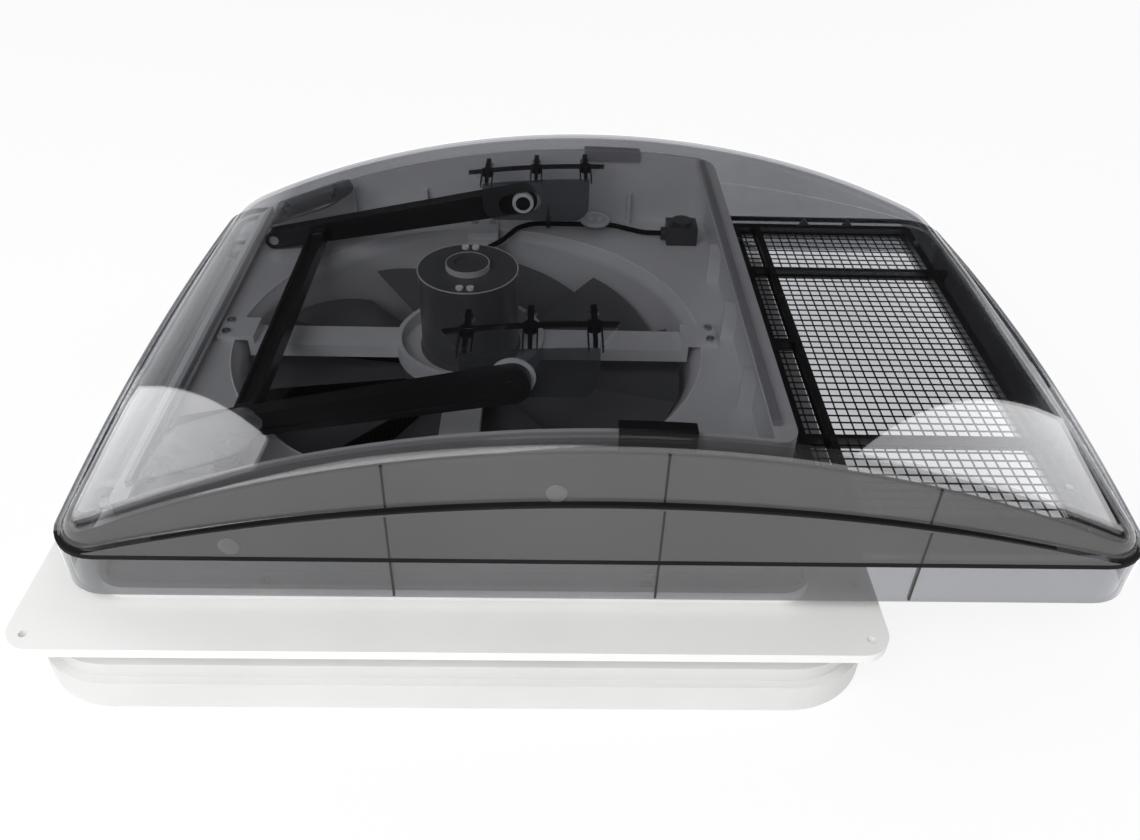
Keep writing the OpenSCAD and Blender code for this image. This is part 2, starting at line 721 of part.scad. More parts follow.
// Lower band of the lid with the floor of the overhang and the hinge ears
module lid_band() color([0.2, 0.2, 0.22, 0.6]) difference() {
    union() {
        lid_ring(0, lid_wall, band_z, band_top);
        lid_ring(0, joint_w, band_top - joint_t, band_top);
        intersection() {
            lid_slab(0, band_top - joint_t, band_top);
            translate([grille_x0 - 6, -lid_w, 0]) cube([lid_l, 2 * lid_w, lid_top_z]);
        }
        for (y = [ear_y, -ear_y - lug_t]) upright(y, lug_t) {
            translate([hinge_x, hinge_z]) circle(lug_r);
            translate([lid_x0 + 1, hinge_z - lug_r]) square([hinge_x - lid_x0 - 1, 2 * lug_r]);
        }
    }
    slab(grille_x0 + grille_bar, grille_x1 - grille_bar, grille_w - 2 * grille_bar, 4, 0, lid_top_z);
    for (y = [ear_y, -ear_y - lug_t]) cross_rod(hinge_x, y - 1, y + lug_t + 1, hinge_z, hinge_pin_r);
    for (p = grille_screw_xy()) rod([p[0], p[1], 0], pilot_r, lid_top_z);
}

// Gasket in the joint between dome and band
module lid_gasket() color("black") lid_ring(1, joint_w - 2, band_top, dome_z);

// Reinforcing plates under the lid's hinge corners, with their screws
function corner_xy(s) = [for (x = [corner_x0 + corner_screw_in, corner_x1 - corner_screw_in],
    y = [corner_y0 + corner_screw_in, corner_y0 + corner_w - corner_screw_in]) [x, s * y]];
module lid_corner_plates() color([0.1, 0.1, 0.1]) difference() {
    intersection() {
        arch_band(lid_in_r - corner_t, lid_in_r - 0.1);
        union() for (s = [-1, 1]) translate([corner_x0, s * (corner_y0 + corner_w / 2) - corner_w / 2, 0])
            cube([corner_x1 - corner_x0, corner_w, lid_top_z]);
    }
    for (s = [-1, 1], p = corner_xy(s)) rod([p[0], p[1], 0], pilot_r, lid_top_z);
}
module plate_screws() color("silver") for (s = [-1, 1], p = corner_xy(s))
    translate([p[0], p[1], arch_z(p[0], lid_in_r) - corner_screw_drop]) mirror([0, 0, 1])
        screw([0, 0, 0], 2.4, 1.4, pilot_r, corner_screw_drop - 0.8);

// Outlet grille in the overhang
module grille_frame() color("black") difference() {
    union() {
        difference() {
            slab(grille_x0, grille_x1, grille_w, 6, band_top, band_top + grille_h);
            slab(grille_x0 + grille_bar, grille_x1 - grille_bar, grille_w - 2 * grille_bar, 3, 0, lid_top_z);
        }
        translate([grille_rail_x, 1 - grille_w / 2, band_top]) cube([grille_bar - 1, grille_w - 2, grille_h]);
        for (s = [-1, 1]) translate([grille_x0 + 1, s * grille_cross_y - 2, band_top])
            cube([grille_x1 - grille_x0 + 8, 4, grille_h]);
        translate([grille_x0 + 1, 0, band_top]) cube([grille_rail_x - grille_x0 + 3, 4, grille_h]);
        for (s = [-1, 1], f = [0.37, 0.61]) upright(s * (grille_w / 2 - 3) - 1.25, 2.5)
            translate([grille_x0 + f * (grille_x1 - grille_x0), band_top + grille_h - 1])
                polygon([[0, 0], [12, 0], [5, 8]]);
    }
    translate([0, 0, mesh_z]) linear_extrude(net_wire) mesh_outline();
    for (p = grille_screw_xy()) rod([p[0], p[1], 0], pilot_r, lid_top_z);
}
module mesh_outline() round_rect(grille_x0 + mesh_in, grille_x1 - mesh_in, grille_w - 2 * mesh_in, 2);
module grille_mesh() color("black") {
    gap_x = (grille_x1 - grille_x0 - 2 * mesh_in) / mesh_nx;
    gap_y = (grille_w - 2 * mesh_in) / mesh_ny;
    translate([0, 0, mesh_z]) linear_extrude(net_wire) difference() {
        mesh_outline();
        for (i = [0:mesh_nx - 1], j = [0:mesh_ny - 1])
            translate([grille_x0 + mesh_in + i * gap_x + net_wire / 2,
                mesh_in - grille_w / 2 + j * gap_y + net_wire / 2])
                square([gap_x - net_wire, gap_y - net_wire]);
    }
}
module grille_screws() color("silver") for (p = grille_screw_xy())
    screw([p[0], p[1], band_top + grille_h], 2.1, 1.6, pilot_r, grille_h + 2);

// Smoked brackets under the lid, each with a slot for its bush
module lid_bracket(y) color([0.12, 0.12, 0.13, 0.8]) difference() {
    intersection() {
        union() {
            upright(y, bracket_t) {
                translate([bracket_x0, bracket_z]) square([bracket_x1 - bracket_x0, lid_top_z - bracket_z]);
            }
            intersection() {
                arch_band(lid_in_r - bracket_t, lid_in_r);
                linear_extrude(lid_top_z) polygon([[bracket_x0, y], [bracket_x1, y],
                    [bracket_x1 + flange_skew, y + flange_run], [bracket_x0 - flange_skew, y + flange_run]]);
            }
            intersection() {
                arch_band(lid_in_r - rib_h, lid_in_r);
                for (k = [-1:1]) translate([bracket_mid + k * rib_step - rib_w / 2, y, 0])
                    cube([rib_w, rib_run, lid_top_z]);
            }
        }
        arch(lid_in_r - 0.1);
    }
    for (k = [-1:1]) rod([bracket_mid + k * rib_step, y + rib_run, 0], rib_boss_r + free_gap, lid_top_z);
    upright(y - 1, bracket_t + 2) bush_slot();
}
module bush_slot() translate([bush_x, bush_z]) rotate(arm_angle) {
    for (d = [-slot_left, slot_right]) translate([d, 0]) circle(bush_r + slot_gap);
    translate([-slot_left, -bush_r - slot_gap]) square([slot_left + slot_right, 2 * (bush_r + slot_gap)]);
}
module front_bracket() lid_bracket(bracket_at[0]);
module rear_bracket() lid_bracket(bracket_at[1]);
module bracket_screws() color("silver") for (p = rib_pads())
    translate([p[0], p[1], arch_z(p[0], lid_in_r) - rib_h - 0.5]) mirror([0, 0, 1])
        screw([0, 0, 0], 3.4, 2, pilot_r, rib_h - 1);

// Hinge pins with heads, fixed in the lid's ears
module hinge_pins() color("silver") for (s = [-1, 1]) mirror([0, s < 0 ? 1 : 0, 0]) {
    cross_rod(hinge_x, lug_y - 1.5, ear_y + lug_t, hinge_z, hinge_pin_r);
    cross_rod(hinge_x, ear_y + lug_t, ear_y + lug_t + 2, hinge_z, hinge_pin_r + 1.5);
}

// Lift frame: arms, crossbar, bushes and pivots
module lift_arm(y, outer) color("black") difference() {
    slope = [1, tan(arm_angle)];
    pivot = [pivot_x, pivot_z];
    bush = [bush_x, bush_z];
    upright(y, arm_t) link_2d(pivot, arm_r0, bush, arm_r1);
    upright(outer, arm_recess) link_2d(pivot + 24 * slope, arm_r0 - 3, bush - 20 * slope, arm_r1 - 4);
    cross_rod(pivot_x, y - 1, y + arm_t + 1, pivot_z, pivot_pin_r);
    cross_rod(bush_x, y - 1, y + arm_t + 1, bush_z, bush_r - 4);
}
module front_arm() lift_arm(-arm_out, -arm_out);
module rear_arm() lift_arm(arm_in, arm_out - arm_recess);
module crossbar() color("black") translate([crossbar_x, 0, pivot_z + (crossbar_x - pivot_x) * tan(arm_angle)])
    rotate([0, -arm_angle, 0]) difference() {
        translate([-crossbar_w / 2, -arm_in, -crossbar_h / 2]) cube([crossbar_w, 2 * arm_in, crossbar_h]);
        translate([groove_side - crossbar_w / 2, groove_end - arm_in, crossbar_h / 2 - groove_d])
            cube([crossbar_w - 2 * groove_side, 2 * (arm_in - groove_end), groove_d + 1]);
    }
module slide_bushes() color("white") for (s = [-1, 1]) mirror([0, s < 0 ? 1 : 0, 0]) {
    difference() {
        cross_rod(bush_x, plate_y - 0.8, arm_in, bush_z, bush_r);
        cross_rod(bush_x, plate_y - 2, plate_y + 1, bush_z, bush_r - 3.5);
    }
    cross_rod(bush_x, arm_in - eps, arm_out, bush_z, bush_r - 4);
}
module pivot_pins() color("silver") {
    cross_rod(pivot_x, -sector_y - sector_t / 2 - 2, -arm_in, pivot_z, pivot_pin_r);
    cross_rod(pivot_x, arm_in, post_y + post_t + 1.5, pivot_z, pivot_pin_r);
}
module lift_sector() color("white") upright(-sector_y - sector_t / 2, sector_t) difference() {
    translate([pivot_x, pivot_z]) {
        circle(pivot_pin_r + 2.5);
        polygon(concat([[0, 0]], arc_points([0, 0], sector_r - 2, tooth_first * tooth_step - 2,
            tooth_last * tooth_step + 2, 12)));
        for (k = [tooth_first:tooth_last]) rotate(k * tooth_step)
            polygon([[sector_r - 3, -1], [tooth_tip, -0.5], [tooth_tip, 0.5], [sector_r - 3, 1]]);
    }
    translate([pivot_x, pivot_z]) circle(pivot_pin_r);
}

// Worm on its shaft down to the hand knob
function thread_ring(i) = let (a = 360 * i / thread_fn, z = pivot_z + worm_pitch * (0.5 + (a - 180) / 360))
    [for (q = [[worm_core - 0.4, -0.85], [worm_out, -0.45], [worm_out, 0.45], [worm_core - 0.4, 0.85]])
        [q[0] * cos(a), q[0] * sin(a), z + q[1]]];
module worm_thread() {
    i0 = -worm_turns * thread_fn / 2;
    m = worm_turns * thread_fn + 1;
    points = [for (i = [0:m - 1]) each thread_ring(i0 + i)];
    sides = [for (i = [0:m - 2], k = [0:3]) let (a = i * 4 + k, b = i * 4 + (k + 1) % 4)
        each [[a, b, b + 4], [a, b + 4, a + 4]]];
    e = (m - 1) * 4;
    caps = [[0, 2, 1], [0, 3, 2], [e, e + 1, e + 2], [e, e + 2, e + 3]];
    polyhedron(points = points, faces = concat(sides, caps));
}
module worm_shaft() color("silver") translate([worm_x, worm_y, 0]) {
    rod([0, 0, panel_z - 3], shaft_r, pivot_z - worm_len / 2 - panel_z + 3);
    rod([0, 0, pivot_z - worm_len / 2], worm_core, worm_len);
    worm_thread();
}
module lift_knob() color("white") translate([worm_x, worm_y, 0]) difference() {
    union() {
        rod([0, 0, panel_z - 3], knob_r, 2.5);
        rod([0, 0, trim_z + 1], knob_r - 4, panel_recess - 2);
        for (a = [0:45:315]) rotate(a) rod([knob_r - 5, 0, trim_z + 1], 3, panel_recess - 2);
    }
    rod([0, 0, panel_z - 3], shaft_r, 6);
}

// Insect screen and its latches
module screen_ring() color("dimgray") translate([fan_x, 0, panel_z - screen_t]) difference() {
    cylinder(r = screen_r, h = screen_t);
    rod([0, 0, -1], screen_in, screen_t + 2);
    rod([0, 0, 1], screen_in + 3, net_wire);
}
module screen_net() color("black") translate([fan_x, 0, panel_z - screen_t + 1]) linear_extrude(net_wire)
    difference() {
        circle(screen_in + 3);
        intersection() {
            circle(screen_in);
            for (i = [-net_half:net_half], j = [-net_half:net_half])
                if (norm([i, j]) * net_pitch < screen_in + net_pitch * 0.1)
                    translate([i, j] * net_pitch) square(net_pitch - net_wire, center = true);
        }
    }
module rotate_latch(i) translate([fan_x, 0, 0]) rotate(90 * i)
    translate([latch_r, 0, 0]) rotate(-90 * i) children();
module latch(i) color("white") rotate_latch(i) {
    rod([0, 0, panel_z - 1], clamp_r, panel_t + 1 - free_gap);
    difference() {
        union() {
            rod([0, 0, trim_z + 2], latch_hub_r, panel_recess - 2 - free_gap);
            rotate(90 * i + 180) translate([0, -latch_w / 2, trim_z + 2])
                cube([latch_l, latch_w, panel_recess - 2 - screen_t - free_gap]);
        }
        translate([-7, -0.8, trim_z + 1]) cube([14, 1.6, 2]);
    }
}
module screen_latch_1() latch(0);
module screen_latch_2() latch(1);
module screen_latch_3() latch(2);
module screen_latch_4() latch(3);

// Button panel and circuit board
module control_bezel() color("white") difference() {
    translate([buttons_x - window_l / 2 - 3, buttons_y - window_w / 2 - 1.5, panel_z - 3])
        cube([window_l + 6, window_w + 3, 3]);
    for (i = [0:button_count - 1]) translate([button_x(i), buttons_y, panel_z - 4])
        translate([-button_l / 2 - button_gap, -button_w / 2 - button_gap, 0])
            cube([button_l + 2 * button_gap, button_w + 2 * button_gap, 5]);
}
module control_board() color("green") {
    translate([buttons_x - window_l / 2, buttons_y - window_w / 2, board_z])
        cube([window_l, window_w, board_t]);
    for (s = [-1, 1]) translate([buttons_x + s * (window_l / 2 + 2.5), buttons_y, panel_z + panel_t])
        cylinder(r = 3, h = board_z - panel_z - panel_t + board_t);
}
module panel_button(i) color("dimgray") translate([button_x(i), buttons_y, 0]) {
    translate([-button_l / 2, -button_w / 2, panel_z - 4.5]) cube([button_l, button_w, 4.5 + free_gap + 0.5]);
    translate([-button_l / 2 - 1.2, -button_w / 2 - 1.2, panel_z + free_gap])
        cube([button_l + 2.4, button_w + 2.4, 1.7]);
    rod([0, 0, panel_z + 1], 2, board_z - panel_z - 3);
}
module fan_button() panel_button(0);
module speed_button() panel_button(1);
module lid_button() panel_button(2);
module mode_button() panel_button(3);

roof_flange();
ceiling_trim();
inner_panel();
clamp_screws();
base_housing();
base_screws();
rim_seals();
rest_pads();
motor_spider();
spider_screws();
motor_can();
motor_cap();
motor_screws();
motor_cable();
cable_tie();
cable_clip();
cable_gland();
fan_rotor();
fan_shaft();
fan_nut();
lid_dome();
lid_band();
lid_gasket();
lid_corner_plates();
plate_screws();
grille_frame();
grille_mesh();
grille_screws();
front_bracket();
rear_bracket();
bracket_screws();
hinge_pins();
front_arm();
rear_arm();
crossbar();
slide_bushes();
pivot_pins();
lift_sector();
worm_shaft();
lift_knob();
screen_ring();
screen_net();
screen_latch_1();
screen_latch_2();
screen_latch_3();
screen_latch_4();
control_bezel();
control_board();
fan_button();
speed_button();
lid_button();
mode_button();
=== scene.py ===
"""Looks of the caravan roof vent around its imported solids. Lengths are in metres."""
import json
import math

import bmesh
import bpy
from mathutils import Matrix, Vector


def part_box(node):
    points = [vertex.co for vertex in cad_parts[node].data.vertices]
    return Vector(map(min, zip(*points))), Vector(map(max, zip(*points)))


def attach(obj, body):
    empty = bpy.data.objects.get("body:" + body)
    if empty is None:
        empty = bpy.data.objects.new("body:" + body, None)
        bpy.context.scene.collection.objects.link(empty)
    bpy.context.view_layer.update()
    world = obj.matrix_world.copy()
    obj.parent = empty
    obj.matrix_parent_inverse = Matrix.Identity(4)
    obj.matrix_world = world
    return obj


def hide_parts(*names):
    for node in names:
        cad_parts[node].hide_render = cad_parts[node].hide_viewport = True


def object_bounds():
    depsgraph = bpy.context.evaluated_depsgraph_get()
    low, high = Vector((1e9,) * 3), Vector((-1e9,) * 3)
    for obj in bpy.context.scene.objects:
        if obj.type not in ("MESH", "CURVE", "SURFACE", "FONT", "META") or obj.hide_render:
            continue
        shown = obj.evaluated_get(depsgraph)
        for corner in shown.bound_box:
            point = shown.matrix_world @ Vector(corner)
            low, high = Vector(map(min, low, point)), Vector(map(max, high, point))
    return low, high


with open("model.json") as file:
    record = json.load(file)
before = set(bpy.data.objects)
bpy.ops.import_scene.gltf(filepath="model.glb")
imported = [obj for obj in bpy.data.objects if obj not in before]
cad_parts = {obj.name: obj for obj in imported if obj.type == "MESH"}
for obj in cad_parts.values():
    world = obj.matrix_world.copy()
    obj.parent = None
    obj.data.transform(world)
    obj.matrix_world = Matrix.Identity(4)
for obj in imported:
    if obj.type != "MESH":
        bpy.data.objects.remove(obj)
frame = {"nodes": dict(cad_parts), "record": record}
cad_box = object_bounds()
nodes = frame["nodes"]
MM = 0.001


def mm(*values):
    """Millimetres as metres."""
    return tuple(v * MM for v in values)


# Lid, as in the solids: plan, arch, side crease and the joint with its band
LID_X0, LID_X1, LID_HALF_W = mm(-214.4, 377.6, 205)
LID_CX = (LID_X0 + LID_X1) / 2
LID_CORNER_R, LID_WALL, EDGE_R = mm(28, 3, 9)
LID_TOP, ARCH_R = mm(119, 660.83)
CREASE_TOP, CREASE_R, CREASE_INSET = mm(81.5, 1049.2, 4)
DOME_Z, BAND_Z, JOINT_W, JOINT_T = mm(44, 16, 8, 1.2)

# Lid, where the scene departs from the solids: bowed ends, tints, joint line, ribs and ledge
LID_BOW_OUT, LID_BOW_LOW = mm(9.5, 6.5)
FRONT_WALL_Y = -180 * MM
# EDGE_SLOPE parts the painted highlight line on the lid's front edge from the painted shade strip above it
WALL_SLOPE, EDGE_SLOPE = 0.45, 0.7
GASKET_IN, GASKET_W, GASKET_Z0, GASKET_Z1 = mm(-0.15, 3, 41.7, 44.6)
RIB_X = mm(-32.5, 108.5, 247.5)
LEDGE_X, LEDGE_INSET, LEDGE_Z0, LEDGE_Z1 = mm(351, 3.4, 42.6, 43.6)

# Lift arms and the brackets under the lid
PIVOT_X, PIVOT_Z, BUSH_X, BUSH_Z = mm(-162, 60.03, 29, 96.89)
BRACKET_Y, BRACKET_T = mm(111, 2.5)
BRACKET_X0, BRACKET_X1, BRACKET_BOTTOM = BUSH_X - 30 * MM, BUSH_X + 49 * MM, BUSH_Z - 14 * MM
BRACKET_DROP = LID_WALL + 0.15 * MM
RAIL_FLARE, RAIL_OUT, RAIL_RIB_PITCH = mm(12, 28, 37)
RAIL_STEPS = 24

# Motor, fan and cable; the cable's route is the solid's, in millimetres
MOTOR_R, MOTOR_BOSS_H = mm(32.75, 4)
MOTOR_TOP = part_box("motor_cap")[1][2] - MOTOR_BOSS_H
FAN_X, FAN_MID_Z, FAN_R = mm(-4, 22, 145)
HUB_R, HUB_Z0, HUB_Z1 = mm(46, 9, 35)
BLADES, BLADE_PITCH, BLADE_FLARE = 10, math.radians(16), 0.587
BLADE_ROOT, BLADE_T, BLADE_CAMBER = mm(26, 2.2, 3)
DUCT_MOUTH_R, DECK_Z = mm(157.3, 52)
CABLE_R = 2 * MM
CABLE_ROUTE = (
    (-4, 32.75, 70), (-4, 36.75, 70), (-4, 42.75, 69), (-4, 49.75, 65), (-4, 56.75, 60), (-4, 64.75, 56),
    (-4, 74.75, 53.5), (-4, 87.83, 53), (-4, 100.92, 52.5), (-4, 114, 52), (-2, 121, 52), (4, 129, 52),
    (11, 136, 52.6), (17, 144, 54), (23, 152, 55.5), (30, 158, 55.5), (38, 161.5, 55.5), (46, 162, 55.5),
    (57, 162, 55.5), (68, 162, 55.5), (79, 162, 55.5), (90, 162, 55.5), (100, 161, 55.5), (109, 157, 55.5),
    (117, 151, 56.5), (124, 146, 57.5), (131, 144, 58), (141, 144, 58))

# Bevel widths of the solids that show, in millimetres
SOFT_EDGES = {
    "roof_flange": 1.2, "ceiling_trim": 1.0, "base_housing": 0.8, "motor_spider": 0.8, "lid_band": 0.8,
    "front_arm": 1.0, "rear_arm": 1.0, "crossbar": 1.0, "grille_frame": 0.6, "motor_can": 1.0,
    "motor_cap": 0.8, "cable_gland": 1.0, "inner_panel": 0.6, "lift_knob": 0.8, "control_bezel": 0.6,
    "screen_ring": 0.6, "slide_bushes": 0.6}

# Stage and camera; the sensor's width is in millimetres, as Blender takes it
FLOOR_Z, FLOOR_HALF, UNDER_HALF = cad_box[0][2], 2.2, 0.2
# The last of these is painted shade on the floor under the part
FLOOR_WHITE, FLOOR_GREY, UNDER_SHADE_GREY = 0.85, 0.9, 0.06
WORLD_LIGHT, STUDIO_DIM, STUDIO_LEAN, HORIZON = 0.6, 0.006, 0.25, (0.03, 0.14)
AMBIENT_SHARE = 0.45
CAMERA_AT = (0.04738, -0.56575, 0.41576)
CAMERA_YAW, CAMERA_PITCH, CAMERA_ROLL = (math.radians(a) for a in (1.87, 37.65, 1.93))
FOCAL_PX, IMAGE_PX, SENSOR = 978.88, 1140, 36


# Mesh helpers
def along(start, end, steps):
    """Even steps from start to end, both included."""
    return [start + (end - start) * k / steps for k in range(steps + 1)]


def around(steps):
    """Even angles of one turn."""
    return [2 * math.pi * k / steps for k in range(steps)]


def new_mesh(name, verts, faces, smooth=True):
    """Object of a new mesh whose faces all point outwards."""
    mesh = bpy.data.meshes.new(name)
    mesh.from_pydata([tuple(v) for v in verts], [], faces)
    mesh.validate()
    shape = bmesh.new()
    shape.from_mesh(mesh)
    bmesh.ops.recalc_face_normals(shape, faces=shape.faces)
    shape.to_mesh(mesh)
    shape.free()
    mesh.update()
    for polygon in mesh.polygons:
        polygon.use_smooth = smooth
    obj = bpy.data.objects.new(name, mesh)
    bpy.context.collection.objects.link(obj)
    return obj


class Builder:
    """Collects vertices and faces of one piece."""

    SHARP_ANGLE = math.radians(35)

    def __init__(self):
        self.verts, self.faces = [], []

    def add(self, verts, faces):
        base = len(self.verts)
        self.verts += [Vector(v) for v in verts]
        self.faces += [tuple(base + i for i in f) for f in faces]

    def box(self, lo, hi):
        """Block between its lowest and highest corners."""
        corners = [(x, y, z) for z in (lo[2], hi[2]) for y in (lo[1], hi[1]) for x in (lo[0], hi[0])]
        self.add(corners, [(0, 2, 3, 1), (4, 5, 7, 6), (0, 1, 5, 4),
                           (2, 6, 7, 3), (0, 4, 6, 2), (1, 3, 7, 5)])

    def loft(self, rings, caps=True):
        """Joins closed rings of equal length."""
        n = len(rings[0])
        faces = [(i * n + k, i * n + (k + 1) % n, (i + 1) * n + (k + 1) % n, (i + 1) * n + k)
                 for i in range(len(rings) - 1) for k in range(n)]
        if caps:
            faces += [tuple(range(n))[::-1], tuple(range((len(rings) - 1) * n, len(rings) * n))]
        self.add([p for ring in rings for p in ring], faces)

    def turned(self, profile, centre, steps, axis="z", caps=True):
        """Turns a profile of (radius, height) points about an upright axis, or about one along Y."""
        cx, cy, cz = centre

        def place(r, h, a):
            u, v = r * math.cos(a), r * math.sin(a)
            return (cx + u, cy + v, cz + h) if axis == "z" else (cx + v, cy + h, cz + u)
        self.loft([[place(r, h, a) for a in around(steps)] for r, h in profile], caps)

    def torus(self, centre, radius, tube, steps=64, sides=10):
        """Upright-axis ring."""
        cx, cy, cz = centre
        verts, faces = [], []
        for i, a in enumerate(around(steps)):
            after = (i + 1) % steps
            for k, b in enumerate(around(sides)):
                r = radius + tube * math.cos(b)
                verts.append((cx + r * math.cos(a), cy + r * math.sin(a), cz + tube * math.sin(b)))
                faces.append((i * sides + k, after * sides + k,
                              after * sides + (k + 1) % sides, i * sides + (k + 1) % sides))
        self.add(verts, faces)

    def piece(self, name, body, material, smooth=True, replaces=()):
        """Makes the piece, and says which body it rides on and which solids it replaces."""
        obj = new_mesh(name, self.verts, self.faces, smooth)
        if smooth:
            obj.data.set_sharp_from_angle(angle=self.SHARP_ANGLE)
        obj.data.materials.append(material)
        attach(obj, body)
        if replaces:
            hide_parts(*replaces)
        return obj


# Shader helpers
def shader(name):
    """New material with its node tree and main shader."""
    mat = bpy.data.materials.new(name)
    mat.use_nodes = True
    tree = mat.node_tree
    return mat, tree, tree.nodes["Principled BSDF"]


def noise(tree, scale, detail=3):
    coords = tree.nodes.new("ShaderNodeTexCoord")
    tex = tree.nodes.new("ShaderNodeTexNoise")
    tex.inputs["Scale"].default_value = scale
    tex.inputs["Detail"].default_value = detail
    tree.links.new(coords.outputs["Object"], tex.inputs["Vector"])
    return tex.outputs["Fac"]


def ramp(tree, fac, low, high, start=0.3, end=0.7):
    node = tree.nodes.new("ShaderNodeValToRGB")
    node.color_ramp.elements[0].position = start
    node.color_ramp.elements[1].position = end
    node.color_ramp.elements[0].color = (*low, 1)
    node.color_ramp.elements[1].color = (*high, 1)
    tree.links.new(fac, node.inputs["Fac"])
    return node.outputs["Color"]


def math_node(tree, operation, *values):
    """Math node whose inputs are numbers or links."""
    node = tree.nodes.new("ShaderNodeMath")
    node.operation = operation
    for socket, value in zip(node.inputs, values):
        if isinstance(value, (int, float)):
            socket.default_value = value
        else:
            tree.links.new(value, socket)
    return node.outputs[0]


def mix_shaders(tree, share, first, second):
    """The second shader where share is 1, the first where it is 0."""
    node = tree.nodes.new("ShaderNodeMixShader")
    for socket, value in zip(node.inputs, (share, first, second)):
        tree.links.new(value, socket)
    return node.outputs["Shader"]


def grain_bump(tree, bsdf, scale, strength, distance=0.0004):
    bump = tree.nodes.new("ShaderNodeBump")
    bump.inputs["Strength"].default_value = strength
    bump.inputs["Distance"].default_value = distance
    tree.links.new(noise(tree, scale), bump.inputs["Height"])
    tree.links.new(bump.outputs["Normal"], bsdf.inputs["Normal"])


def moulded(name, low, high, roughness, grain=700, bump=0.08, patch=14, metallic=0.0, specular=0.5):
    """Plastic, rubber or metal with a fine grain and soft patches between two colours."""
    mat, tree, bsdf = shader(name)
    tree.links.new(ramp(tree, noise(tree, patch), low, high), bsdf.inputs["Base Color"])
    bsdf.inputs["Roughness"].default_value = roughness
    bsdf.inputs["Metallic"].default_value = metallic
    bsdf.inputs["Specular IOR Level"].default_value = specular
    grain_bump(tree, bsdf, grain, bump)
    return mat


def smoked(name, low, high, shadow, haze, roughness=0.02, specular=0.35, patch=6, ior=1.49):
    """Thin tinted acrylic: sight passes straight through, with a little haze and surface reflections."""
    mat, tree, bsdf = shader(name)
    patches = noise(tree, patch)
    tree.links.new(ramp(tree, patches, (haze * 0.9,) * 3, (haze * 1.1,) * 3), bsdf.inputs["Base Color"])
    bsdf.inputs["Roughness"].default_value = roughness
    bsdf.inputs["IOR"].default_value = ior
    bsdf.inputs["Specular IOR Level"].default_value = specular
    clear = tree.nodes.new("ShaderNodeBsdfTransparent")
    tree.links.new(ramp(tree, patches, low, high), clear.inputs["Color"])
    seen = tree.nodes.new("ShaderNodeAddShader")
    tree.links.new(clear.outputs["BSDF"], seen.inputs[0])
    tree.links.new(bsdf.outputs["BSDF"], seen.inputs[1])
    path = tree.nodes.new("ShaderNodeLightPath")
    shown = seen.outputs["Shader"]
    for kind, share in (("Is Shadow Ray", 1.0), ("Is Diffuse Ray", AMBIENT_SHARE)):
        dimmed = tree.nodes.new("ShaderNodeBsdfTransparent")
        dimmed.inputs["Color"].default_value = (*(c * share for c in shadow), 1)
        shown = mix_shaders(tree, path.outputs[kind], shown, dimmed.outputs["BSDF"])
    tree.links.new(shown, tree.nodes["Material Output"].inputs["Surface"])
    return mat


# Materials
WHITE = moulded("white_plastic", (0.82, 0.82, 0.81), (0.86, 0.86, 0.85), 0.38)
# A darker copy of the white plastic for the ceiling trim below the flange: painted shade
TRIM_SHADED_WHITE = moulded("trim_shaded_white", (0.66, 0.66, 0.65), (0.70, 0.70, 0.69), 0.38)
HOUSING = moulded("housing_plastic", (0.68, 0.68, 0.69), (0.75, 0.75, 0.76), 0.36)
SMOKE = smoked("smoke", (0.71, 0.715, 0.73), (0.75, 0.755, 0.77), (0.74, 0.74, 0.75), 0.0005)
SMOKE_BAND = smoked("smoke_band", (0.48, 0.485, 0.5), (0.52, 0.525, 0.54), (0.5, 0.5, 0.51), 0.07, 0.06)
SMOKE_WALL = smoked("smoke_wall", (0.10, 0.102, 0.106), (0.13, 0.132, 0.136), (0.3, 0.3, 0.31), 0.08, 0.05)
# Painted highlight: paler, hazier smoke for the lower rounding of the lid's front top edge
SMOKE_EDGE_HIGHLIGHT = smoked("smoke_edge_highlight", (0.5, 0.505, 0.515), (0.55, 0.555, 0.565), (0.3, 0.3, 0.31), 0.08, 0.05)
SMOKE_PLATE = smoked("smoke_plate", (0.38, 0.40, 0.43), (0.44, 0.46, 0.49), (0.4, 0.4, 0.4), 0.03, 0.1)
SMOKE_CLEAR = smoked("smoke_clear", (0.90, 0.905, 0.92), (0.94, 0.945, 0.96), (0.8, 0.8, 0.8), 0.003, 0.03)
# Dark smoke; on the lid's top along the front edge it is a strip of painted shade
SMOKE_DARK = smoked("smoke_dark", (0.54, 0.54, 0.55), (0.60, 0.60, 0.61), (0.5, 0.5, 0.5), 0.01, 0.1)
BLACK = moulded("black_plastic", (0.008, 0.008, 0.009), (0.014, 0.014, 0.015), 0.28)
GREY = moulded("grey_plastic", (0.10, 0.10, 0.105), (0.14, 0.14, 0.145), 0.35)
NYLON = moulded("clear_plastic", (0.66, 0.67, 0.69), (0.74, 0.75, 0.77), 0.3)
RUBBER = moulded("rubber", (0.006, 0.006, 0.006), (0.011, 0.011, 0.011), 0.75, grain=900, bump=0.2,
                 specular=0.15)
STEEL = moulded("steel", (0.5, 0.5, 0.5), (0.62, 0.62, 0.62), 0.3, patch=120, metallic=1.0)
BRASS = moulded("brass", (0.62, 0.44, 0.2), (0.72, 0.52, 0.26), 0.3, patch=120, metallic=1.0)
SATIN = moulded("satin_grey", (0.30, 0.30, 0.31), (0.36, 0.36, 0.37), 0.3, bump=0.03)
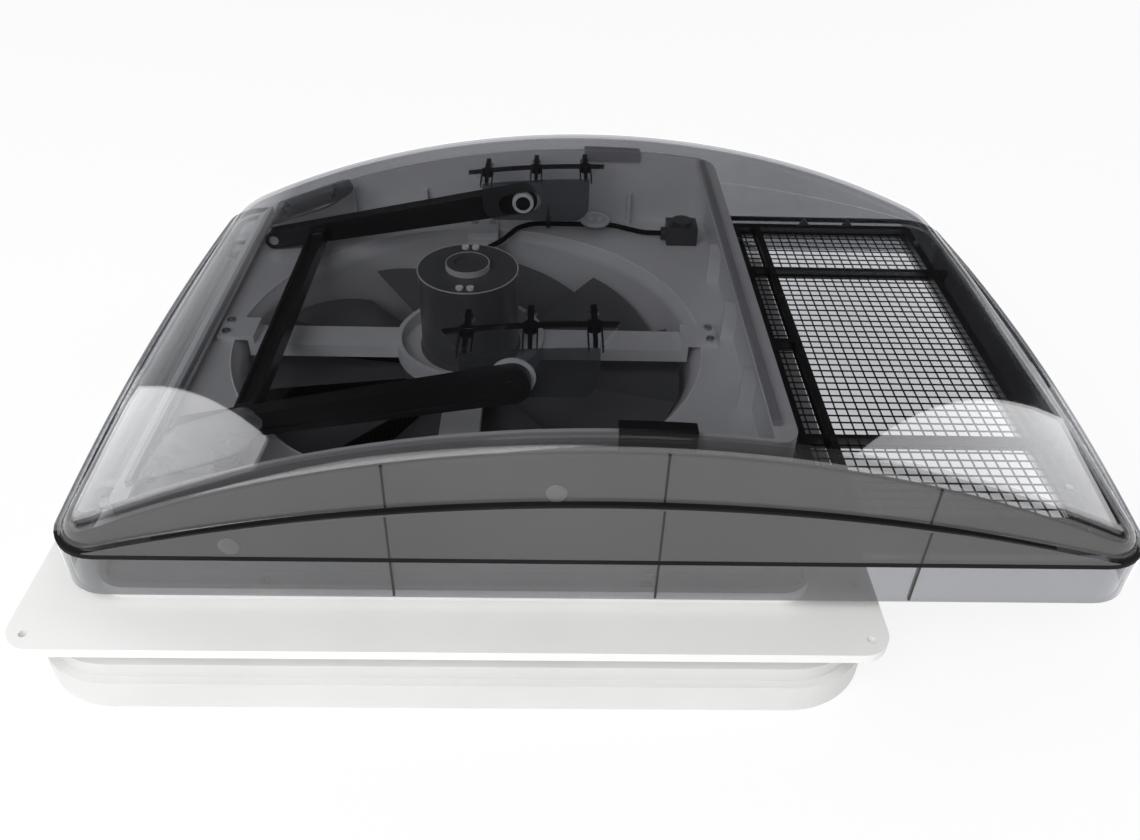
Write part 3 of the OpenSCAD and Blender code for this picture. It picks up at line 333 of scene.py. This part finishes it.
# Light grey that paints highlights on the motor's edges
HIGHLIGHT_GREY = moulded("painted_highlight_grey", (0.55, 0.55, 0.56), (0.65, 0.65, 0.66), 0.3, bump=0.03)
DIM_GREY = moulded("dim_grey", (0.045, 0.045, 0.047), (0.06, 0.06, 0.062), 0.4)
MOTOR = moulded("motor_black", (0.09, 0.09, 0.093), (0.12, 0.12, 0.123), 0.34, bump=0.03)
BOARD = moulded("board", (0.02, 0.12, 0.05), (0.03, 0.17, 0.07), 0.35, patch=90)
SLOT_MATERIALS = {
    "white_plastic": WHITE, "housing_plastic": HOUSING, "smoke": SMOKE, "black_plastic": BLACK,
    "grey_plastic": GREY, "clear_plastic": NYLON, "rubber": RUBBER, "steel": STEEL, "brass": BRASS,
    "motor_black": MOTOR, "board": BOARD}
# The motor's screws are white: painted glints on their heads
NODE_MATERIALS = {
    "ceiling_trim": TRIM_SHADED_WHITE, "lid_band": SMOKE_BAND, "motor_screws": WHITE, "cable_gland": DIM_GREY,
    "rim_seals": SATIN}


# Solids
def paint_solids():
    """Gives each solid the material of its slot, or one of its own."""
    for part in frame["record"]["subparts"]:
        name = part["node"]
        materials = nodes[name].data.materials
        materials.clear()
        materials.append(NODE_MATERIALS.get(name, SLOT_MATERIALS[part["material_slot"]]))


def soften(name, width):
    """Rounds the edges of a solid with modifiers."""
    obj = nodes[name]
    weld = obj.modifiers.new("weld", "WELD")
    weld.merge_threshold = 1e-6
    flat = obj.modifiers.new("flat", "DECIMATE")
    flat.decimate_type = "DISSOLVE"
    flat.angle_limit = math.radians(0.2)
    edge = obj.modifiers.new("edge", "BEVEL")
    edge.width = width
    edge.segments = 2
    edge.limit_method = "ANGLE"
    edge.angle_limit = math.radians(40)
    edge.use_clamp_overlap = True
    normals = obj.modifiers.new("normals", "WEIGHTED_NORMAL")
    normals.keep_sharp = True


# Lid
def arch_z(x, drop=0.0):
    """Height of the lid's arched top at x, or of a surface that lies drop below it."""
    return LID_TOP - ARCH_R + math.sqrt((ARCH_R - drop) ** 2 - (x - LID_CX) ** 2)


def crease_z(x):
    """Height of the crease on the lid's sides at x."""
    return max(CREASE_TOP - CREASE_R + math.sqrt(CREASE_R ** 2 - (x - LID_CX) ** 2), DOME_Z + 0.6 * MM)


def bow(y, depth):
    """How far an end of the lid stands out at y."""
    half = LID_HALF_W - LID_CORNER_R
    return depth * max(1 - (y / half) ** 2, 0)


def lid_outline(inset, corner_steps=8, side_steps=72, end_steps=10):
    """Front half of the lid's plan from the left end to the right end; the rear half is its mirror."""
    r = LID_CORNER_R - inset
    x0, x1, half = LID_X0 + inset, LID_X1 - inset, LID_HALF_W - inset
    corner = [(r - r * math.cos(a), r - half - r * math.sin(a)) for a in along(0, math.pi / 2, corner_steps)]
    end = [(0, (r - half) * k / end_steps) for k in range(end_steps)] + corner
    left = [(x0 + x - bow(y, LID_BOW_LOW), y) for x, y in end]
    right = [(x1 - x + bow(y, LID_BOW_OUT), y) for x, y in reversed(end)]
    side = [(x, -half) for x in along(left[-1][0], right[0][0], side_steps)[1:-1]]
    return left + side + right


def whole_ring(inset, height):
    """Closed ring of the lid's plan at an inset; both halves share the end points on the middle line."""
    front = [(x, y, height(x)) for x, y in lid_outline(inset)]
    return front + [(x, -y, z) for x, y, z in reversed(front[1:-1])]


def lid_profile():
    """Pairs of inset and height rule, from the middle of the top down the outside and up the inside."""
    quarter = along(0, math.pi / 2, 6)
    top_inset = CREASE_INSET + EDGE_R + 2 * MM
    inner_inset, inner_r = CREASE_INSET + LID_WALL, EDGE_R - LID_WALL
    joint_top = DOME_Z + JOINT_T
    outer_edge = [(CREASE_INSET + EDGE_R * (1 - math.cos(a)),
                   lambda x, a=a: max(arch_z(x) - EDGE_R * (1 - math.sin(a)), DOME_Z + 1.95 * MM))
                  for a in reversed(quarter)]
    crease = [(inset, lambda x, rise=rise: crease_z(x) + rise) for inset, rise in (
        (CREASE_INSET, 1.2 * MM), (CREASE_INSET - 0.6 * MM, 0.5 * MM), (1.5 * MM, 0), (0.4 * MM, -0.3 * MM))]
    crease.append((0, lambda x: max(crease_z(x) - 1.4 * MM, DOME_Z + 0.4 * MM)))
    foot = [(inset, lambda x, z=z: z) for inset, z in (
        (0, DOME_Z + 0.2 * MM), (0.3 * MM, DOME_Z), (JOINT_W, DOME_Z), (JOINT_W, joint_top),
        (inner_inset + 0.5 * MM, joint_top), (inner_inset, joint_top + 0.4 * MM))]
    inner_edge = [(inner_inset + inner_r * (1 - math.cos(a)),
                   lambda x, a=a: max(arch_z(x, LID_WALL) - inner_r * (1 - math.sin(a)),
                                      joint_top + 0.5 * MM))
                  for a in quarter]
    return [(top_inset, arch_z), *outer_edge, *crease, *foot, *inner_edge,
            (top_inset, lambda x: arch_z(x, LID_WALL))]


def lid_shell():
    """Dome of the lid: front and rear walls tinted more than the top; painted highlight and shade at the
    front edge.
    """
    shell = Builder()
    rings = [whole_ring(inset, height) for inset, height in lid_profile()]
    shell.loft(rings, caps=False)
    n = len(rings[0])
    for base, flip in ((0, 1), ((len(rings) - 1) * n, -1)):
        pairs = [(base + k, base + (n - k) % n) for k in range(n // 2 + 1)]
        for (a, b), (c, d) in zip(pairs, pairs[1:]):
            corners = list(dict.fromkeys((a, b, d, c)))
            shell.faces.append(tuple(corners[::flip]))
    obj = shell.piece("lid_shell", "lid", SMOKE, replaces=["lid_dome"])
    for material in (SMOKE_WALL, SMOKE_EDGE_HIGHLIGHT, SMOKE_DARK):
        obj.data.materials.append(material)
    wall, edge, dark = 1, 2, 3
    for polygon in obj.data.polygons:
        slope = abs(polygon.normal.z)
        # Front: dark-tinted walls, a painted highlight line on the edge's lower rounding, then a strip of
        # painted shade along the top
        if polygon.center.y < FRONT_WALL_Y:
            polygon.material_index = wall if slope < WALL_SLOPE else edge if slope < EDGE_SLOPE else dark
        elif polygon.center.y > -FRONT_WALL_Y and slope < WALL_SLOPE:
            polygon.material_index = dark


def outlet_ledge():
    """Dark ledge of the lid behind the outlet grille."""
    front = [(x, y) for x, y in lid_outline(LEDGE_INSET) if x > LEDGE_X]
    plan = [(LEDGE_X, front[0][1]), *front]
    plan += [(x, -y) for x, y in reversed(front[:-1])] + [(LEDGE_X, -front[0][1])]
    ledge = Builder()
    ledge.loft([[(x, y, z) for x, y in plan] for z in (LEDGE_Z0, LEDGE_Z1)])
    ledge.piece("outlet_ledge", "lid", SMOKE_DARK, smooth=False)


def lid_ribs():
    """Upright dark lines of the front wall: above the crease, below it and on the band."""
    half_w, proud, deep, band_top = mm(0.6, 0.15, 2, 41.5)
    ribs = Builder()
    for x in RIB_X:
        for inset, z0, z1 in ((CREASE_INSET, crease_z(x) + 1.3 * MM, arch_z(x) - 5 * MM),
                              (0, DOME_Z + 0.4 * MM, crease_z(x) - 1.4 * MM),
                              (0, BAND_Z, band_top)):
            y = inset - LID_HALF_W
            ribs.box((x - half_w, y - proud, z0), (x + half_w, y + deep, z1))
    ribs.piece("lid_ribs", "lid", BLACK, smooth=False)


def wall_bosses():
    """Two round marks of the front wall."""
    profile = [mm(r, h) for r, h in ((0.3, -0.5), (4.6, -0.5), (5.4, -0.35), (5.8, 0), (5.8, 1), (0.3, 1))]
    discs = Builder()
    for x, z, inset in ((54 * MM, 87.5 * MM, CREASE_INSET), (-114 * MM, 52 * MM, 0)):
        discs.turned(profile, (x, inset - LID_HALF_W, z), axis="y", steps=40)
    discs.piece("wall_bosses", "lid", GREY)


def crease_seams():
    """Dark bead in the corner of the front crease, thinner towards its ends."""
    reach = LID_X1 - LID_CX - 60 * MM
    y0, y1 = (d - LID_HALF_W for d in mm(1.2, 3.9))
    end_tall, more_tall, lift = mm(0.15, 1, 0.15)
    rings = []
    for f in along(-1, 1, 96):
        x = LID_CX + reach * f
        z = crease_z(x) + lift
        tall = end_tall + more_tall * (1 - f ** 4)
        rings.append([(x, y0, z), (x, y1, z), (x, y1, z + tall), (x, y0, z + tall * 0.8)])
    seams = Builder()
    seams.loft(rings)
    seams.piece("crease_seams", "lid", RUBBER, smooth=False)


def gasket_cord():
    """Dark seam between dome and band; at the lid's ends it is as clear as the band."""
    outer, inner = GASKET_IN, GASKET_IN + GASKET_W
    rows = [whole_ring(inset, lambda x, z=z: z) for inset, z in (
        (outer, GASKET_Z0), (outer, GASKET_Z1), (inner, GASKET_Z1), (inner, GASKET_Z0))]
    ring = Builder()
    ring.loft(rows, caps=False)
    n = len(rows[0])
    ring.faces += [(3 * n + k, 3 * n + (k + 1) % n, (k + 1) % n, k) for k in range(n)]
    obj = ring.piece("gasket_cord", "lid", RUBBER, replaces=["lid_gasket"])
    obj.data.materials.append(SMOKE_BAND)
    end_reach = LID_X1 - LID_CX - 4 * MM
    for polygon in obj.data.polygons:
        polygon.material_index = int(abs(polygon.center.x - LID_CX) > end_reach)


def band_ends():
    """Bowed skins over the band's two ends, in line with the dome above them."""
    skins = Builder()
    half = LID_HALF_W - LID_CORNER_R
    places = along(-half, half, 24)
    outer_gap, inner_gap = mm(0.05, 0.02)
    for x, out, depth in ((LID_X1, 1, LID_BOW_OUT), (LID_X0, -1, LID_BOW_LOW)):
        plan = [(x + out * (bow(y, depth) + outer_gap), y) for y in places]
        plan += [(x + out * inner_gap, y) for y in reversed(places)]
        skins.loft([[(px, y, z) for px, y in plan] for z in (BAND_Z, GASKET_Z0)])
    skins.piece("band_ends", "lid", SMOKE_BAND)


def corner_plates():
    """Dark plates under the lid's low corners, cut to a rounded outline."""
    outline = [mm(x, y) for x, y in ((-170, 168), (-168, 171), (-116, 172), (-110, 169), (-104, 152),
                                     (-105, 146), (-116, 131), (-122, 128), (-158, 127), (-166, 131))]
    plates = Builder()
    for side in (-1, 1):
        plates.loft([[(x, side * y, arch_z(x, LID_WALL + drop)) for x, y in outline]
                     for drop in mm(0.2, 2.2)])
    plates.piece("corner_plates", "lid", SMOKE_DARK, smooth=False, replaces=["lid_corner_plates"])


def grille_net():
    """Fine wires across the outlet grille."""
    x0, x1, y0, y1, z, pitch, half = mm(204, 346, -176, 176, 44.6, 7.1, 0.4)
    x_wires, y_wires = 21, 50
    net = Builder()
    for x in (x0 + k * pitch for k in range(x_wires)):
        net.box((x - half, y0, z - half), (x + half, y1, z + half))
    for y in (y0 + k * pitch for k in range(y_wires)):
        net.box((x0, y - half, z - half), (x1, y + half, z + half))
    net.piece("grille_net", "lid", BLACK, smooth=False, replaces=["grille_mesh"])


# Brackets and lift arms
def arc(cx, cz, r, start, end, steps=10):
    """Points of an upright arc between two angles in degrees."""
    return [(cx + r * math.cos(math.radians(a)), cz + r * math.sin(math.radians(a)))
            for a in along(start, end, steps)]


def plate(name, outer, hole, y0, y1, material, replaces):
    """Upright plate between two Y values, cut by one hole."""
    shape = bmesh.new()
    edges = []
    for loop in (outer, hole):
        verts = [shape.verts.new((x, y0, z)) for x, z in loop]
        edges += [shape.edges.new((verts[k], verts[(k + 1) % len(verts)])) for k in range(len(verts))]
    filled = bmesh.ops.triangle_fill(shape, edges=edges, use_beauty=True)
    faces = [f for f in filled["geom"] if isinstance(f, bmesh.types.BMFace)]
    grown = bmesh.ops.extrude_face_region(shape, geom=faces)
    moved = [v for v in grown["geom"] if isinstance(v, bmesh.types.BMVert)]
    bmesh.ops.translate(shape, verts=moved, vec=(0, y1 - y0, 0))
    shape.verts.index_update()
    cut = Builder()
    cut.add([v.co.copy() for v in shape.verts], [[v.index for v in f.verts] for f in shape.faces])
    shape.free()
    cut.piece(name, "lid", material, smooth=False, replaces=replaces)


def rail_places():
    """Places along a bracket's rail, which reaches past the plate at both ends."""
    return along(BRACKET_X0 - RAIL_FLARE, BRACKET_X1 + RAIL_FLARE, RAIL_STEPS)


def bracket_sheet(name, y):
    """Clear sheet under the lid, from a bracket's plate to its rail."""
    sheet_t = 1.8 * MM
    rings = []
    for near, far in zip(along(BRACKET_X0, BRACKET_X1, RAIL_STEPS), rail_places()):
        corners = ((near, y + BRACKET_T, 0), (far, y + RAIL_OUT, 0),
                   (far, y + RAIL_OUT, sheet_t), (near, y + BRACKET_T, sheet_t))
        rings.append([(x, v, arch_z(x, BRACKET_DROP + drop)) for x, v, drop in corners])
    sheet = Builder()
    sheet.loft(rings)
    sheet.piece(name, "lid", SMOKE_CLEAR, smooth=False)


def bracket_rail(name, y):
    """Dark bar along the sheet's edge with three cross ribs, their side webs and round bosses."""
    bar = [mm(v, drop) for v, drop in ((28.1, 0), (30.1, 0), (30.1, 3), (28.1, 3))]
    ribs = [mm(*rib) for rib in ((0, 1.3, 9, 29, 5), (0, 1.8, 30, 49.5, 4.5),
                                 (-4, 0.45, 4, 29, 4.5), (4, 0.45, 4, 29, 4.5))]
    boss = [mm(r, h) for r, h in ((1, -5.5), (4, -5.5), (4.6, -4.9), (4.6, -0.4), (1, -0.4))]
    boss_y, rib_top = mm(29, -0.3)
    rail = Builder()
    rail.loft([[(x, y + v, arch_z(x, BRACKET_DROP + drop)) for v, drop in bar] for x in rail_places()])
    for k in (-1, 0, 1):
        x = (BRACKET_X0 + BRACKET_X1) / 2 + k * RAIL_RIB_PITCH
        z = arch_z(x, BRACKET_DROP)
        for side, half_w, v0, v1, drop in ribs:
            rail.box((x + side - half_w, y + v0, z - drop), (x + side + half_w, y + v1, z + rib_top))
        rail.turned(boss, (x, y + boss_y, z), steps=28)
    rail.piece(name, "lid", BLACK, smooth=False)


def lid_brackets():
    """Smoked plates with a slot for the bush, carried by dark ribbed rails under the lid."""
    tilt = math.atan2(BUSH_Z - PIVOT_Z, BUSH_X - PIVOT_X)
    cos, sin = math.cos(tilt), math.sin(tilt)
    slot_r, slot_high, slot_low, corner = mm(8.4, 5, -10, 12)
    slot = [(BUSH_X + u * cos - v * sin, BUSH_Z + u * sin + v * cos)
            for u, v in arc(slot_high, 0, slot_r, -90, 90, 14) + arc(slot_low, 0, slot_r, 90, 270, 14)]
    outer = arc(BRACKET_X0 + corner, BRACKET_BOTTOM + corner, corner, 180, 270)
    outer += arc(BRACKET_X1 - corner, BRACKET_BOTTOM + corner, corner, 270, 360)
    outer += [(x, arch_z(x, BRACKET_DROP)) for x in along(BRACKET_X1, BRACKET_X0, 20)]
    for name, y in (("front", -BRACKET_Y - BRACKET_T), ("rear", BRACKET_Y)):
        plate(name + "_bracket_plate", outer, slot, y, y + BRACKET_T, SMOKE_PLATE,
              [name + "_bracket"])
        bracket_sheet(name + "_bracket_sheet", y)
        bracket_rail(name + "_bracket_rail", y)


def arm_ends():
    """Dark caps on both ends of the bush pins, and a pale washer behind the front arm."""
    bush = (BUSH_X, 0, BUSH_Z)
    mid, rim = mm(0.2, 0.1)
    caps = Builder()
    for y0, y1, r in (mm(-125.25, -124.6, 5.2), mm(124.6, 125.25, 5.2),
                      mm(-110.15, -109.9, 5.4), mm(109.9, 110.15, 5.4)):
        caps.turned([(mid, y0), (r - rim, y0), (r, y0 + rim), (r, y1), (mid, y1)], bush, axis="y", steps=32)
    caps.piece("arm_caps", "lift", BLACK)
    inner, outer, y0, y1 = mm(8.05, 13.2, -114.8, -113.8)
    section = [(inner, y0), (outer, y0), (outer, y1), (inner, y1), (inner, y0)]
    washer = Builder()
    washer.turned(section, bush, axis="y", steps=40, caps=False)
    washer.piece("bush_washer", "lift", NYLON)


# Motor, fan and cable
def motor_highlights():
    """Painted highlights: light grey rings on the rim of the motor's cap and round the edge and side of its
    raised middle.
    """
    boss_band = [mm(r, h) for r, h in ((14.1, 0.2), (14.5, 0.3), (14.25, 3.8), (14.1, 3.8), (14.1, 0.2))]
    cap_drop, cap_in, cap_tube = mm(0.25, 0.1, 0.45)
    boss_rise, boss_r, boss_tube = mm(3.9, 14.05, 0.4)
    edges = Builder()
    edges.torus((FAN_X, 0, MOTOR_TOP - cap_drop), MOTOR_R - cap_in, cap_tube, steps=96)
    edges.torus((FAN_X, 0, MOTOR_TOP + boss_rise), boss_r, boss_tube)
    edges.turned(boss_band, (FAN_X, 0, MOTOR_TOP), steps=64, caps=False)
    edges.piece("motor_edge_highlights", "base", HIGHLIGHT_GREY)


def fan_blade(turn):
    """Rings of one blade from hub to tip: a broad tilted plate with a slight camber."""
    start_r, root_r = HUB_R - 1.5 * MM, HUB_R - 4 * MM
    rings = []
    for r in along(start_r, FAN_R, 9):
        chord = BLADE_ROOT + BLADE_FLARE * (r - root_r)
        upper, lower = [], []
        for s in along(-0.5, 0.5, 8):
            middle = BLADE_CAMBER * (0.5 - 4 * s * s)
            half_t = BLADE_T / 2 * math.sqrt(1 - 3.8 * s * s)
            for w, rows in ((middle + half_t, upper), (middle - half_t, lower)):
                a = (s * chord * math.cos(BLADE_PITCH) - w * math.sin(BLADE_PITCH)) / r + turn
                z = FAN_MID_Z + s * chord * math.sin(BLADE_PITCH) + w * math.cos(BLADE_PITCH)
                rows.append((FAN_X + r * math.cos(a), r * math.sin(a), z))
        rings.append(lower + upper[::-1])
    return rings


def fan_wheel():
    """Dished hub with three ridges, and its blades."""
    bore, step_r0, step_r1, hub_wall, ridge_pitch = mm(5, 18, 20, 3, 7)
    hub_in = HUB_R - hub_wall
    floor_z, step_z, slope_z = (HUB_Z1 - down for down in mm(4, 0.8, 3))
    ridge = [mm(out, up) for out, up in ((0, 4), (0.8, 5), (0.8, 6), (0, 7))]
    ridges = [(HUB_R + out, HUB_Z0 + up + k * ridge_pitch) for k in range(3) for out, up in ridge]
    hub = [(bore, floor_z), (hub_in, floor_z), (hub_in, HUB_Z0), (HUB_R, HUB_Z0), *ridges,
           (HUB_R, slope_z), (hub_in, HUB_Z1), (step_r1, HUB_Z1), (step_r0, step_z), (bore, step_z)]
    wheel = Builder()
    wheel.turned(hub, (FAN_X, 0, 0), steps=64)
    for turn in around(BLADES):
        wheel.loft(fan_blade(turn))
    wheel.piece("fan_wheel", "fan", GREY, replaces=["fan_rotor"])


def cable_cord():
    """Motor cable on a smooth curve through the solid's route."""
    route = [Vector(p) * MM for p in CABLE_ROUTE]
    points = []
    for k in range(len(route) - 1):
        a, b, c, d = (route[min(max(k + o, 0), len(route) - 1)] for o in (-1, 0, 1, 2))
        for t in (0, 0.25, 0.5, 0.75):
            points.append(0.5 * (2 * b + (c - a) * t + (2 * a - 5 * b + 4 * c - d) * t ** 2
                                 + (3 * b - a - 3 * c + d) * t ** 3))
    points.append(route[-1])
    curve = bpy.data.curves.new("motor_cord", "CURVE")
    curve.dimensions = "3D"
    curve.bevel_depth = CABLE_R
    curve.bevel_resolution = 3
    spline = curve.splines.new("POLY")
    spline.points.add(len(points) - 1)
    for place, point in zip(spline.points, points):
        place.co = (*point, 1)
    cord = bpy.data.objects.new("motor_cord", curve)
    bpy.context.collection.objects.link(cord)
    curve.materials.append(RUBBER)
    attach(cord, "base")
    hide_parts("motor_cable")


def clip_glint_ring():
    """Rim and lugs of the round cable clip in white: painted glints on its edges."""
    lo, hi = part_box("cable_clip")
    clip_r = (hi[0] - lo[0]) / 2
    cx, cy, top = lo[0] + clip_r, lo[1] + clip_r, hi[2]
    tube, lug_at, lug_half_x, lug_half_y, lug_low, lug_high = mm(0.8, 3.5, 1.6, 2.2, -0.3, 1.6)
    ring = Builder()
    ring.torus((cx, cy, top), clip_r - tube, tube)
    for x in (cx - lug_at, cx + lug_at):
        ring.box((x - lug_half_x, cy - lug_half_y, top + lug_low),
                 (x + lug_half_x, cy + lug_half_y, top + lug_high))
    ring.piece("clip_glint_ring", "base", WHITE, smooth=False)


# Housing
def rest_blocks():
    """Foam rests on the housing's front and rear rims; the rear one is slim and paler."""
    lo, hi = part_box("rest_pads")
    chamfer = 1 * MM
    for name, (x0, x1), (y0, y1), z0, gap, material, hides in (
            ("front_rest", (lo[0], hi[0]), (lo[1], lo[1] + 9 * MM), lo[2], 0.6 * MM, BLACK, ["rest_pads"]),
            ("rear_rest", mm(76, 120), (hi[1] - 8 * MM, hi[1]), hi[2] - 12 * MM, 3 * MM, SATIN, [])):
        rings = []
        for x in along(x0, x1, 12):
            top = min(arch_z(x, LID_WALL + gap), hi[2])
            rings.append([(x, y0, z0), (x, y1, z0), (x, y1, top - chamfer), (x, y1 - chamfer, top),
                          (x, y0 + chamfer, top), (x, y0, top - chamfer)])
        block = Builder()
        block.loft(rings)
        block.piece(name, "base", material, smooth=False, replaces=hides)


def duct_lip_highlight():
    """Painted highlight: a pale ring round the duct's mouth."""
    lip = Builder()
    lip.torus((FAN_X, 0, DECK_Z), DUCT_MOUTH_R, tube=0.6 * MM, steps=160, sides=8)
    lip.piece("duct_lip_highlight", "base", WHITE)


def screen_weave():
    """Fine wires of the insect screen, one layer over the other."""
    r, half_w, pitch = mm(152, 0.35, 3.2)
    lo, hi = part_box("screen_net")
    z = (lo[2] + hi[2]) / 2
    lower, upper = [(z + a, z + b) for a, b in (mm(-0.5, 0), mm(-0.1, 0.4))]
    count = int(r / pitch)
    weave = Builder()
    for p in (k * pitch for k in range(-count, count + 1)):
        reach = math.sqrt(r * r - p * p)
        weave.box((FAN_X + p - half_w, -reach, lower[0]), (FAN_X + p + half_w, reach, lower[1]))
        weave.box((FAN_X - reach, p - half_w, upper[0]), (FAN_X + reach, p + half_w, upper[1]))
    weave.piece("screen_weave", "base", BLACK, smooth=False, replaces=["screen_net"])


# Stage
def first_sight(tree, *kinds):
    """1 for the named ray kinds as long as no diffuse bounce came before, else 0."""
    path = tree.nodes.new("ShaderNodeLightPath")
    before = math_node(tree, "LESS_THAN", path.outputs["Diffuse Depth"], 0.5)
    seen = path.outputs[kinds[0]]
    for kind in kinds[1:]:
        seen = math_node(tree, "MAXIMUM", seen, path.outputs[kind])
    return math_node(tree, "MULTIPLY", seen, before)


def floor_material(name, grey):
    """Dull even grey."""
    mat, tree, bsdf = shader(name)
    bsdf.inputs["Base Color"].default_value = (grey, grey, grey, 1)
    bsdf.inputs["Roughness"].default_value = 0.9
    bsdf.inputs["Specular IOR Level"].default_value = 0.0
    return mat, tree, bsdf


def make_floor():
    """White floor that keeps the part's shadow; under the part it is dark grey without glow, a painted
    shade.
    """
    lit, tree, bsdf = floor_material("floor", FLOOR_GREY)
    glow = tree.nodes.new("ShaderNodeEmission")
    glow.inputs["Strength"].default_value = 1.0
    seen = first_sight(tree, "Is Camera Ray", "Is Glossy Ray", "Is Transmission Ray")
    share = math_node(tree, "MULTIPLY", seen, FLOOR_WHITE)
    surface = mix_shaders(tree, share, bsdf.outputs["BSDF"], glow.outputs["Emission"])
    tree.links.new(surface, tree.nodes["Material Output"].inputs["Surface"])
    under, _, _ = floor_material("floor_under_shade", UNDER_SHADE_GREY)
    verts = [(x * half, y * half, FLOOR_Z) for half in (FLOOR_HALF, UNDER_HALF)
             for x, y in ((-1, -1), (1, -1), (1, 1), (-1, 1))]
    border = [(k, (k + 1) % 4, 4 + (k + 1) % 4, 4 + k) for k in range(4)]
    floor = new_mesh("floor", verts, [*border, (4, 5, 6, 7)], smooth=False)
    floor.data.materials.append(lit)
    floor.data.materials.append(under)
    floor.data.polygons[len(border)].material_index = 1


def make_world():
    """White background; in reflections it is white at the horizon and a dim studio above it."""
    world = bpy.data.worlds.new("studio")
    bpy.context.scene.world = world
    world.use_nodes = True
    tree = world.node_tree
    tree.nodes.clear()

    def background(strength):
        node = tree.nodes.new("ShaderNodeBackground")
        node.inputs["Strength"].default_value = strength
        return node
    light, white, studio = background(WORLD_LIGHT), background(1.0), background(1.0)
    coords = tree.nodes.new("ShaderNodeTexCoord")
    split = tree.nodes.new("ShaderNodeSeparateXYZ")
    tree.links.new(coords.outputs["Generated"], split.inputs["Vector"])
    right = math_node(tree, "MAXIMUM", split.outputs["X"], 0)
    height = math_node(tree, "MULTIPLY_ADD", right, STUDIO_LEAN, split.outputs["Z"])
    tree.links.new(ramp(tree, height, (1, 1, 1), (STUDIO_DIM,) * 3, *HORIZON), studio.inputs["Color"])
    seen = mix_shaders(tree, first_sight(tree, "Is Camera Ray", "Is Transmission Ray"),
                       light.outputs["Background"], white.outputs["Background"])
    mirrored = mix_shaders(tree, first_sight(tree, "Is Glossy Ray"), seen, studio.outputs["Background"])
    out = tree.nodes.new("ShaderNodeOutputWorld")
    tree.links.new(mirrored, out.inputs["Surface"])


def area_light(name, matrix, size, power):
    data = bpy.data.lights.new(name, "AREA")
    data.shape = "RECTANGLE"
    data.size, data.size_y = size
    data.energy = power
    lamp = bpy.data.objects.new(name, data)
    lamp.matrix_world = matrix
    bpy.context.collection.objects.link(lamp)


def aimed_light(name, place, aim, size, power):
    """Area light at a place that faces aim."""
    turn = (Vector(aim) - Vector(place)).to_track_quat("-Z", "Y").to_matrix().to_4x4()
    area_light(name, Matrix.Translation(place) @ turn, size, power)


def side_box(name, low, high, aim, width, power):
    """Soft box whose inner edge runs from low to high; it stands outwards from that edge and faces aim."""
    low, high, aim = Vector(low), Vector(high), Vector(aim)
    up = (high - low).normalized()
    middle = (low + high) / 2
    facing = aim - middle
    facing = (facing - up * facing.dot(up)).normalized()
    across = facing.cross(up)
    outward = across if across.x * middle.x > 0 else -across
    centre = middle + outward * (width / 2)
    turn = Matrix((across, up, -facing)).transposed().to_4x4()
    area_light(name, Matrix.Translation(centre) @ turn, (width, (high - low).length), power)


def make_lights():
    """Soft key, top and front lamps, and a box on each side that the lid's ends reflect."""
    aimed_light("key", place=(-0.65, -1.3, 1.35), aim=(0.05, 0, 0.05), size=(1.4, 1.4), power=28)
    aimed_light("top", place=(0.1, 0.75, 1.9), aim=(0.05, 0, 0.05), size=(1.0, 0.6), power=2)
    aimed_light("front", place=(0.5, -1.6, 0.9), aim=(0.05, 0, 0.02), size=(1.6, 0.9), power=3)
    side_box("right_box", low=(2.33, 1.85, -0.05), high=(1.55, 1.85, 1.47), aim=(0.28, -0.15, 0.09),
             width=1.4, power=16)
    side_box("left_box", low=(-2.0, 1.87, -0.05), high=(-1.58, 1.87, 1.12), aim=(-0.15, -0.13, 0.08),
             width=1.4, power=13)


def make_camera():
    """Camera fitted to the photograph's edges."""
    forward = Vector((math.sin(CAMERA_YAW) * math.cos(CAMERA_PITCH),
                      math.cos(CAMERA_YAW) * math.cos(CAMERA_PITCH), -math.sin(CAMERA_PITCH)))
    right = Vector((math.cos(CAMERA_YAW), -math.sin(CAMERA_YAW), 0))
    up = right.cross(forward)
    side = right * math.cos(CAMERA_ROLL) + up * math.sin(CAMERA_ROLL)
    top = up * math.cos(CAMERA_ROLL) - right * math.sin(CAMERA_ROLL)
    data = bpy.data.cameras.new("camera")
    data.sensor_width = SENSOR
    data.lens = FOCAL_PX / IMAGE_PX * SENSOR
    data.clip_start, data.clip_end = 0.01, 50
    cam = bpy.data.objects.new("camera", data)
    cam.matrix_world = Matrix.Translation(CAMERA_AT) @ Matrix((side, top, -forward)).transposed().to_4x4()
    bpy.context.collection.objects.link(cam)
    bpy.context.scene.camera = cam


make_camera()
cable_cord()
make_world()
make_floor()
make_lights()
bpy.context.scene.view_settings.view_transform = "Standard"

paint_solids()
for node, width in SOFT_EDGES.items():
    soften(node, width * MM)
lid_shell()
outlet_ledge()
lid_ribs()
wall_bosses()
crease_seams()
lid_brackets()
arm_ends()
motor_highlights()
clip_glint_ring()
gasket_cord()
band_ends()
corner_plates()
rest_blocks()
duct_lip_highlight()
grille_net()
fan_wheel()
screen_weave()
